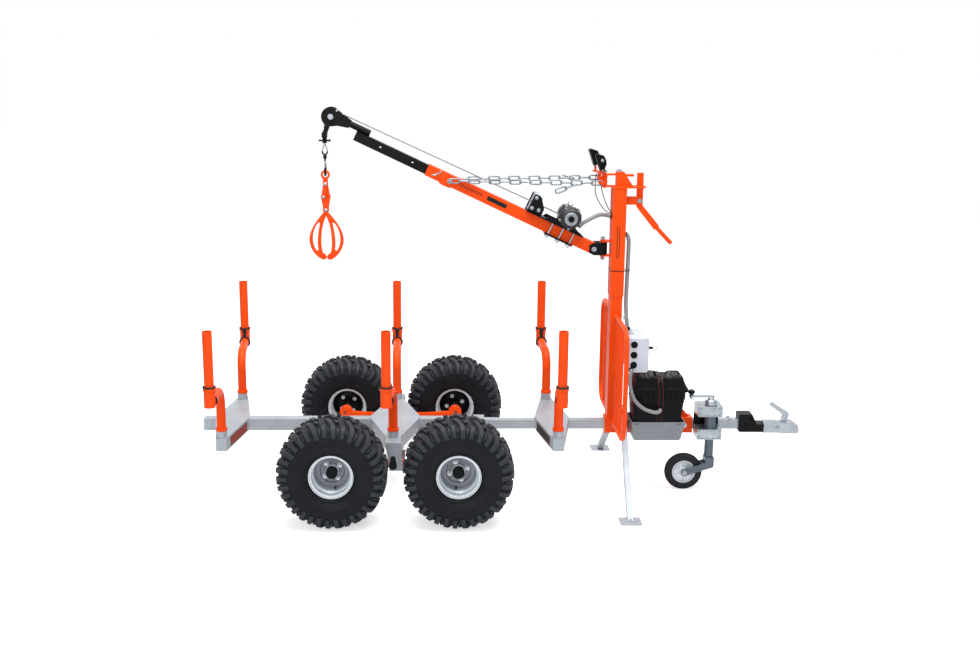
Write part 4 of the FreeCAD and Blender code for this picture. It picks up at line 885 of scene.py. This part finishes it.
hose = {"pitch": 0.0075, "depth": 0.0009, "step": 0.0019,
        "down": mm((0.5, -20, 1392), (12, -20, 1388), (22.5, -20, 1360), (23, -21, 1300), (21.5, -23, 1200),
                 (19, -26, 1080), (18.5, -31, 1010), (21.5, -46, 945), (25, -58, 905), (27, -62, 882.5)),
        "lead": mm((20, -250.5, 712), (20, -266, 708), (14, -280, 680), (18, -282, 620), (42, -282, 556),
                 (86, -282, 512), (135, -281, 491), (168, -271, 486), (183, -250, 490), (183, -230.5, 490)),
        "glands": (((0.183, -0.229, 0.49), (0.183, -0.244, 0.49), 0.0135),
        ((0.027, -0.062, 0.881), (0.0255, -0.06, 0.897), 0.014),
                   ((-0.001, -0.02, 1.392), (0.008, -0.02, 1.3905), 0.014),
                   ((0.02, -0.249, 0.712), (0.02, -0.262, 0.7105), 0.0135)),
        "up": mm((455, -40, 1478), (500, -14, 1493), (535, -3, 1491), (566.5, 0, 1484)),
        "near": mm((478.5, -22, 1711.5), (474.5, -22, 1690), (473.5, -22, 1650), (480, -20, 1595), (516, -11, 1532),
                 (543, -6, 1508), (566, -6, 1502)),
        "far": mm((500, 30, 1706), (503, 28, 1690), (509, 24, 1650), (520, 18, 1600), (538, 11, 1550),
                (555, 6, 1518), (566, 6, 1508))}


def evenPath(corners):  # a smooth route cut into equal short steps
    fine = smoothPath(corners, 60)
    path, owed, step = [fine[0]], 0.0, hose["step"]
    for a, b in zip(fine, fine[1:]):
        length = (b - a).length
        while owed + length >= step:
            a = a + (b - a) * ((step - owed) / length)
            length = (b - a).length
            path.append(a)
            owed = 0.0
        owed += length
    return path


def ribbedHose(corners, radius):
    def size(run):
        return radius - hose["depth"] * (0.5 + 0.5 * cos(2 * pi * run / hose["pitch"]))
    return tube(evenPath(corners), radius, 14, ribs=size)


def fromMast(corners):
    return [(mastFront + x, y, z) for x, y, z in corners]


glands = [tube(fromMast(ends), radius, 6) for *ends, radius in hose["glands"]]
addPiece("conduit_hoses", "chassis", {hoseGrey: [ribbedHose(fromMast(hose["down"]), 0.011),
    ribbedHose(fromMast(hose["lead"]), 0.010)],
                                      boxBlack: glands}, replaces=["chassis_conduits"])
start = boomPoint(winch["s"] - 0.066, 0.072, -0.060)
up = ribbedHose([start, start + Vector((0.022, 0.008, 0.020)), *hose["up"]], 0.011)
piece = addPiece("winch_hose", None, {hoseGrey: [up]}, replaces=["winch_conduit"])
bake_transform(piece)
addPiece("mast_grommet", "chassis", {boxBlack: [cylinder((0.5675, 0, 1.484), (0.5615, 0, 1.4852), 0.015, 20)]}, 35)
leads = [tube(smoothPath(hose[name]), 0.0022, 8) for name in ("near", "far")]
piece = addPiece("lamp_cables", None, {boxBlack: leads}, replaces=["lamp_leads"])
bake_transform(piece)
print("boxes and hoses done")


# Stakes: rubber rings and buckled straps at the sockets, sleeves and beads on the spigots

stake = {"x": (-1.474, -0.583, 0.275), "turns": ((0.0, 4.0), (-4.5, 1.0), (-3.0, 2.0)), "rootY": 0.355, "y": 0.645,
         "lip": 0.725, "socket": 0.0285, "tube": 0.024, "armZ": 0.6508,
         "sleeve": mm((23.5, 0.3), (28.3, 0.3), (28.3, 35.5), (23.5, 35.5)),
         "collar": mm((23.5, 34.5), (29, 34.5), (30.2, 36.5), (30.2, 48), (29, 50), (23.5, 50))}
straps, sleeves, beads = [], [], []
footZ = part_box("stake_arms")[0][2]
lip, socket, armZ = stake["lip"], stake["socket"], stake["armZ"]
for x, turns in zip(stake["x"], stake["turns"]):
    for side, turn in zip((-1, 1), turns):
        swing = at(x, side * stake["rootY"], 0) @ Matrix.Rotation(radians(turn), 4, "Z")
        reach = side * (stake["y"] - stake["rootY"])
        inner = reach - side * (socket + 0.0062)
        ring = [(a, reach + b, lip + 0.0045) for a, b in circle(socket + 0.001, 32)]
        hoop = [(a, inner, armZ + b) for a, b in circle(stake["tube"] + 0.0048, 32)]
        half = ((-0.011, armZ + 0.022), (0.011, armZ + 0.022), (0.0085, armZ + 0.046), (0.014, lip + 0.005),
            (-0.014, lip + 0.005),
                (-0.0085, armZ + 0.046))
        band = loft([[(a * k, reach - side * (socket + d), z) for a, z in half]
            for d, k in ((0.0015, 1), (0.0075, 0.85))], side < 0)
        straps += [moved(s, swing) for s in (tube(ring, 0.0042, 8, True), tube(hoop, 0.0044, 8, True), band)]
        seam = [(a, reach + b, lip - 0.0105) for a, b in circle(socket + 0.0008, 32)]
        beads.append(moved(tube(seam, 0.0036, 8, True), swing))
        spot = at(x, side * stake["rootY"], footZ) @ upright
        sleeves.append(moved(lathe(stake["sleeve"], 36, closed=True), spot))
        beads.append(moved(lathe(stake["collar"], 36, closed=True), spot))
addPiece("stake_straps", "chassis", {softRubber: straps})
addPiece("stake_spigots", "chassis", {zincDip: sleeves})
addPiece("stake_beads", "chassis", {orange: beads})


# Blank plates and stripes where such trailers carry stickers

film = {"bunkRoots": (0.095, 0.140, 0.095), "bunkEnd": 0.028, "bunkReach": 0.385, "z": (0.319, 0.366), "frame": 0.006,
    "spans": (0.058, 0.322)}


def skirtPlate(bunk, fromY, toY, sideX):  # a film on a bunk's slanting skirt, just proud of it
    x, root, (low, high) = stake["x"][bunk], film["bunkRoots"][bunk], film["z"]
    corners = [(x + sideX * (root + (film["bunkEnd"] - root) * abs(y) / film["bunkReach"] + 0.0009), y, z)
               for y, z in ((fromY, low), (toY, low), (toY, high), (fromY, high))]
    inner = [(x - sideX * 0.0008, y, z) for x, y, z in corners]
    return loft([inner[::sideX], corners[::sideX]])


plates = {blankPlate: [], plateOrange: []}
for bunk, sideX, frameFilm, fieldFilm in ((2, -1, plateOrange, blankPlate), (0, 1, blankPlate, plateOrange)):
    near, far = film["spans"]
    for fromY, toY in ((-far, -near), (near, far)):
        plates[frameFilm].append(skirtPlate(bunk, fromY, toY, sideX))
        points, faces = skirtPlate(bunk, fromY + film["frame"], toY - film["frame"], sideX)
        points = [Vector((p.x + sideX * 0.0006, p.y, min(max(p.z, 0.3225), 0.3625))) for p in points]
        plates[fieldFilm].append((points, faces))
addPiece("bunk_plates", "chassis", plates, 20)


def sideFilm(outline, y, thick=0.0004, turned=True):  # the same flat film on both sides
    return [loft([[(x, side * (y + d), z) for x, z in outline] for d in (0.0001, 0.0001 + thick)], turned and side > 0)
        for side in (-1, 1)]


def oblong(x0, x1, z0, z1):
    return (x0, z0), (x1, z0), (x1, z1), (x0, z1)


films = sideFilm(roundedPairs(-0.628, -0.516, -0.008, 0.014, 0.004, 3), 0.03, 0.0005)
films += [f for z in (-0.0025, 0.0065) for f in sideFilm(oblong(-0.79, -0.655, z, z + 0.003), 0.03)]
addPiece("boom_plates", "crane", {blankPlate: [moved(f, boomFrame) for f in films]}, 20)
films = [f for x in (0.592, 0.6035) for f in sideFilm(oblong(x, x + 0.0035, 1.265, 1.435), 0.052, turned=False)]
addPiece("mast_stripes", "chassis", {blankPlate: films}, 20)


# Mast: tie band, joint bolts, slewing pin nuts and the lever's pivot bolt

band = loft([roundedRing(0.5655, 0.6385, -0.0535, 0.0535, z, 0.003, 3) for z in (1.1965, 1.2005)])
clip = [(x, y, 1.1985) for x, y in ((0.637, -0.05), (0.655, -0.046), (0.6685, -0.032), (0.669, -0.014), (0.654, 0),
    (0.637, 0.004))]
addPiece("mast_tie", "chassis", {boxBlack: [band, tube(smoothPath(clip, 6), 0.0022, 8)]}, 40)
parts = [hexBolt((slewX, 0, z), (0, 0, up), 0.019, 0.008)
    for z, up in ((luffZ + 0.05, 1), (luffZ - 0.05, -1), (1.716, 1))]
parts += bothSides(hexBolt, bogieX + 1.276, 0.0135, 1.566, 0.016)
for x in (bogieX + 1.180, bogieX + 1.560):
    parts += bothSides(hexBolt, x, 0.042, 0.342, 0.019, 0.008)
parts += [hexBolt((0.6, 0, 1.7185), (0, 0, 1), 0.024, 0.008), hexBolt((mastFront + 0.012, -0.052, 0.948), (0, -1, 0))]
addPiece("mast_bolts", "chassis", {zincBright: parts}, 40)

# Chassis fixings: beam collar, drawbar, tail, leg brackets and coupling
parts = []
for x, y, z, across, head in ((bogieX + 0.440, 0.037, 0.342, 0.017, 0.008), (1.248, 0.025, 0.362, 0.017, 0.008),
                              (bogieX - 1.036, 0.032, 0.342, 0.015, 0.006)):
    parts += bothSides(hexBolt, x, y, z, across, head)
parts += [hexBolt((bogieX + 1.2375, y, 0.405), (1, 0, 0)) for y in (-0.118, 0.118)]
parts += [nut for x in (2.075, 2.105) for nut in bothSides(domeNut, bogieX + x, 0.037, 0.322, 0.0065, 0.0035)]
dark = [bolt for x, z in ((1.930, 0.375), (1.905, 0.342)) for bolt in bothSides(hexBolt, bogieX + x, 0.038, z, 0.015)]
addPiece("chassis_bolts", "chassis", {zincBright: parts, boxBlack: dark}, 40)

# Jockey wheel's bright head, saddles, crank arm and grip
crank = {"neck": mm((31, 479.2), (32.8, 479.8), (32.8, 495), (29, 501.2), (20, 504), (17, 509),
                  (17, 515), (15, 519.8), (13, 520.5)),
         "saddle": mm((34, 3.5), (38, 3.5), (38.5, 6), (38.5, 50), (38, 52.5), (34, 52.5)),
         "grip": mm((9, 0), (9.5, 6), (17, 11), (19, 17), (18.5, 24), (13, 29), (2, 30))}
arm = loft([roundedRing(jx - 0.1186, jx + 0.015, jy - 0.0126, jy + 0.0126, z, 0.012)
    for z in (0.5194, 0.52, 0.528, 0.5286)])
addPiece("jockey_head", "chassis", {zincBright: [moved(lathe(crank["neck"], 36), at(jx, jy, 0) @ upright), arm]})
saddles = [moved(lathe(crank["saddle"], 40, closed=True), at(jx, jy, z) @ upright) for z in (0.292, 0.420)]
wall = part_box("drawbar")[0][1]
# a black block on the drawbar's side between the two clamps: painted shadow
shadow = block(jx - 0.0745, jx + 0.0585, wall - 0.0128, wall - 0.003, 0.3485, 0.4195)
addPiece("jockey_saddles", "chassis", {zincBright: saddles, boxBlack: [shadow]})
stub = cylinder((jx - 0.108, jy, 0.528), (jx - 0.108, jy, 0.512), 0.007, 12)
addPiece("crank_knob", "chassis", {boxBlack: [moved(lathe(crank["grip"], 28), at(jx - 0.108, jy, 0.530) @ upright),
    stub]})

# Hangers: outer plates folded over to the axle beam, each with a rubber nose over its pin
hanger = {"y": (0.4492, 0.4560), "inner": 0.364, "cap": (-0.5815, 0.2545, 0.297), "nose": (0.020, 0.012),
          "face": mm((-620, 380), (-600, 228), (-528, 228), (-541, 380)),
          "steps": mm((-0.5, 0), (4, 0), (6.2, 2), (7.2, 6))}
y0, y1 = hanger["y"]
cx, low, high = hanger["cap"]
for name, side in sides:
    skinPlate = loft([[(x, side * y, z) for x, z in hanger["face"][::side]] for y in (y0, y1)])
    roof = sorted((side * hanger["inner"], side * (y0 + 0.001)))
    bridges = [block(-0.62, -0.541, *roof, 0.374, 0.38), block(-0.614, -0.546, *roof, 0.315, 0.321)]
    addPiece("hanger_plate_" + name, "chassis", {zincDip: [skinPlate, *bridges]}, 40, bevel=0.0012)
    rings = []
    for out, inset in hanger["steps"]:
        outline = [(cx + (radius - inset) * cos(radians(a)), z + (radius - inset) * sin(radians(a)))
                   for z, radius, first in ((low, hanger["nose"][0], -190), (high, hanger["nose"][1], 10))
                   for a in range(first, first + (201 if first < 0 else 161), 20)]
        rings.append([(x, side * (y1 + out), z) for x, z in outline])
    pin = domeNut((cx, side * (y1 + 0.0066), high + 0.001), (0, side, 0), 0.004, 0.0006)
    addPiece("pin_cap_" + name, "chassis", {softRubber: [loft(rings, side > 0)], zincBright: [pin]})
    bolt = hexBolt((bogieX + 1.193, side * 0.585, 0.006), (0, 0, 1), 0.017, 0.007)
    addPiece("leg_bolt_" + name, "leg_" + name, {zincBright: [bolt]}, 40)
print("fixings done")


# Floor, sky and softboxes

def addStage():
    world = bpy.data.worlds.new("studio")
    bpy.context.scene.world = world
    tree = emptyTree(world)
    rays = addNode(tree, "LightPath").outputs
    seen = addNode(tree, "Math", {0: rays["Is Camera Ray"], 1: rays["Is Glossy Ray"]}, operation="MAXIMUM")
    strength = addNode(tree, "MapRange", {"Value": seen, "To Min": light["sky"], "To Max": 1.0})
    sky = addNode(tree, "Background", {"Color": (1, 1, 1, 1), "Strength": strength})
    addNode(tree, "OutputWorld", {"Surface": sky})

    material = bpy.data.materials.new("studio floor")
    tree = emptyTree(material)
    rays = addNode(tree, "LightPath").outputs
    paint = addNode(tree, "BsdfDiffuse", {"Color": linear(light["floor"])})
    glow = addNode(tree, "Emission", {"Color": (1, 1, 1, 1), "Strength": light["floorGlow"]})
    both = addNode(tree, "AddShader", {0: paint, 1: glow})
    pick = addNode(tree, "MixShader", {0: rays["Is Camera Ray"], 1: paint, 2: both})
    addNode(tree, "OutputMaterial", {"Surface": pick})
    mesh = bpy.data.meshes.new("floor")
    mesh.from_pydata([(-90, -30, 0), (90, -30, 0), (90, 160, 0), (-90, 160, 0)], [], [(0, 1, 2, 3)])
    mesh.materials.append(material)
    place(bpy.data.objects.new("floor", mesh))
    addSoftbox("overhead softbox", (0.2, -0.6, 5.0), (0, 0, 0.6), (5.0, 4.0), light["overheadWatts"])
    addSoftbox("front softbox", (-2.0, -6.0, 3.2), (0, 0, 0.8), (3.5, 2.5), light["frontWatts"])


addStage()
bpy.context.scene.view_settings.view_transform = "Standard"
print("stage set")
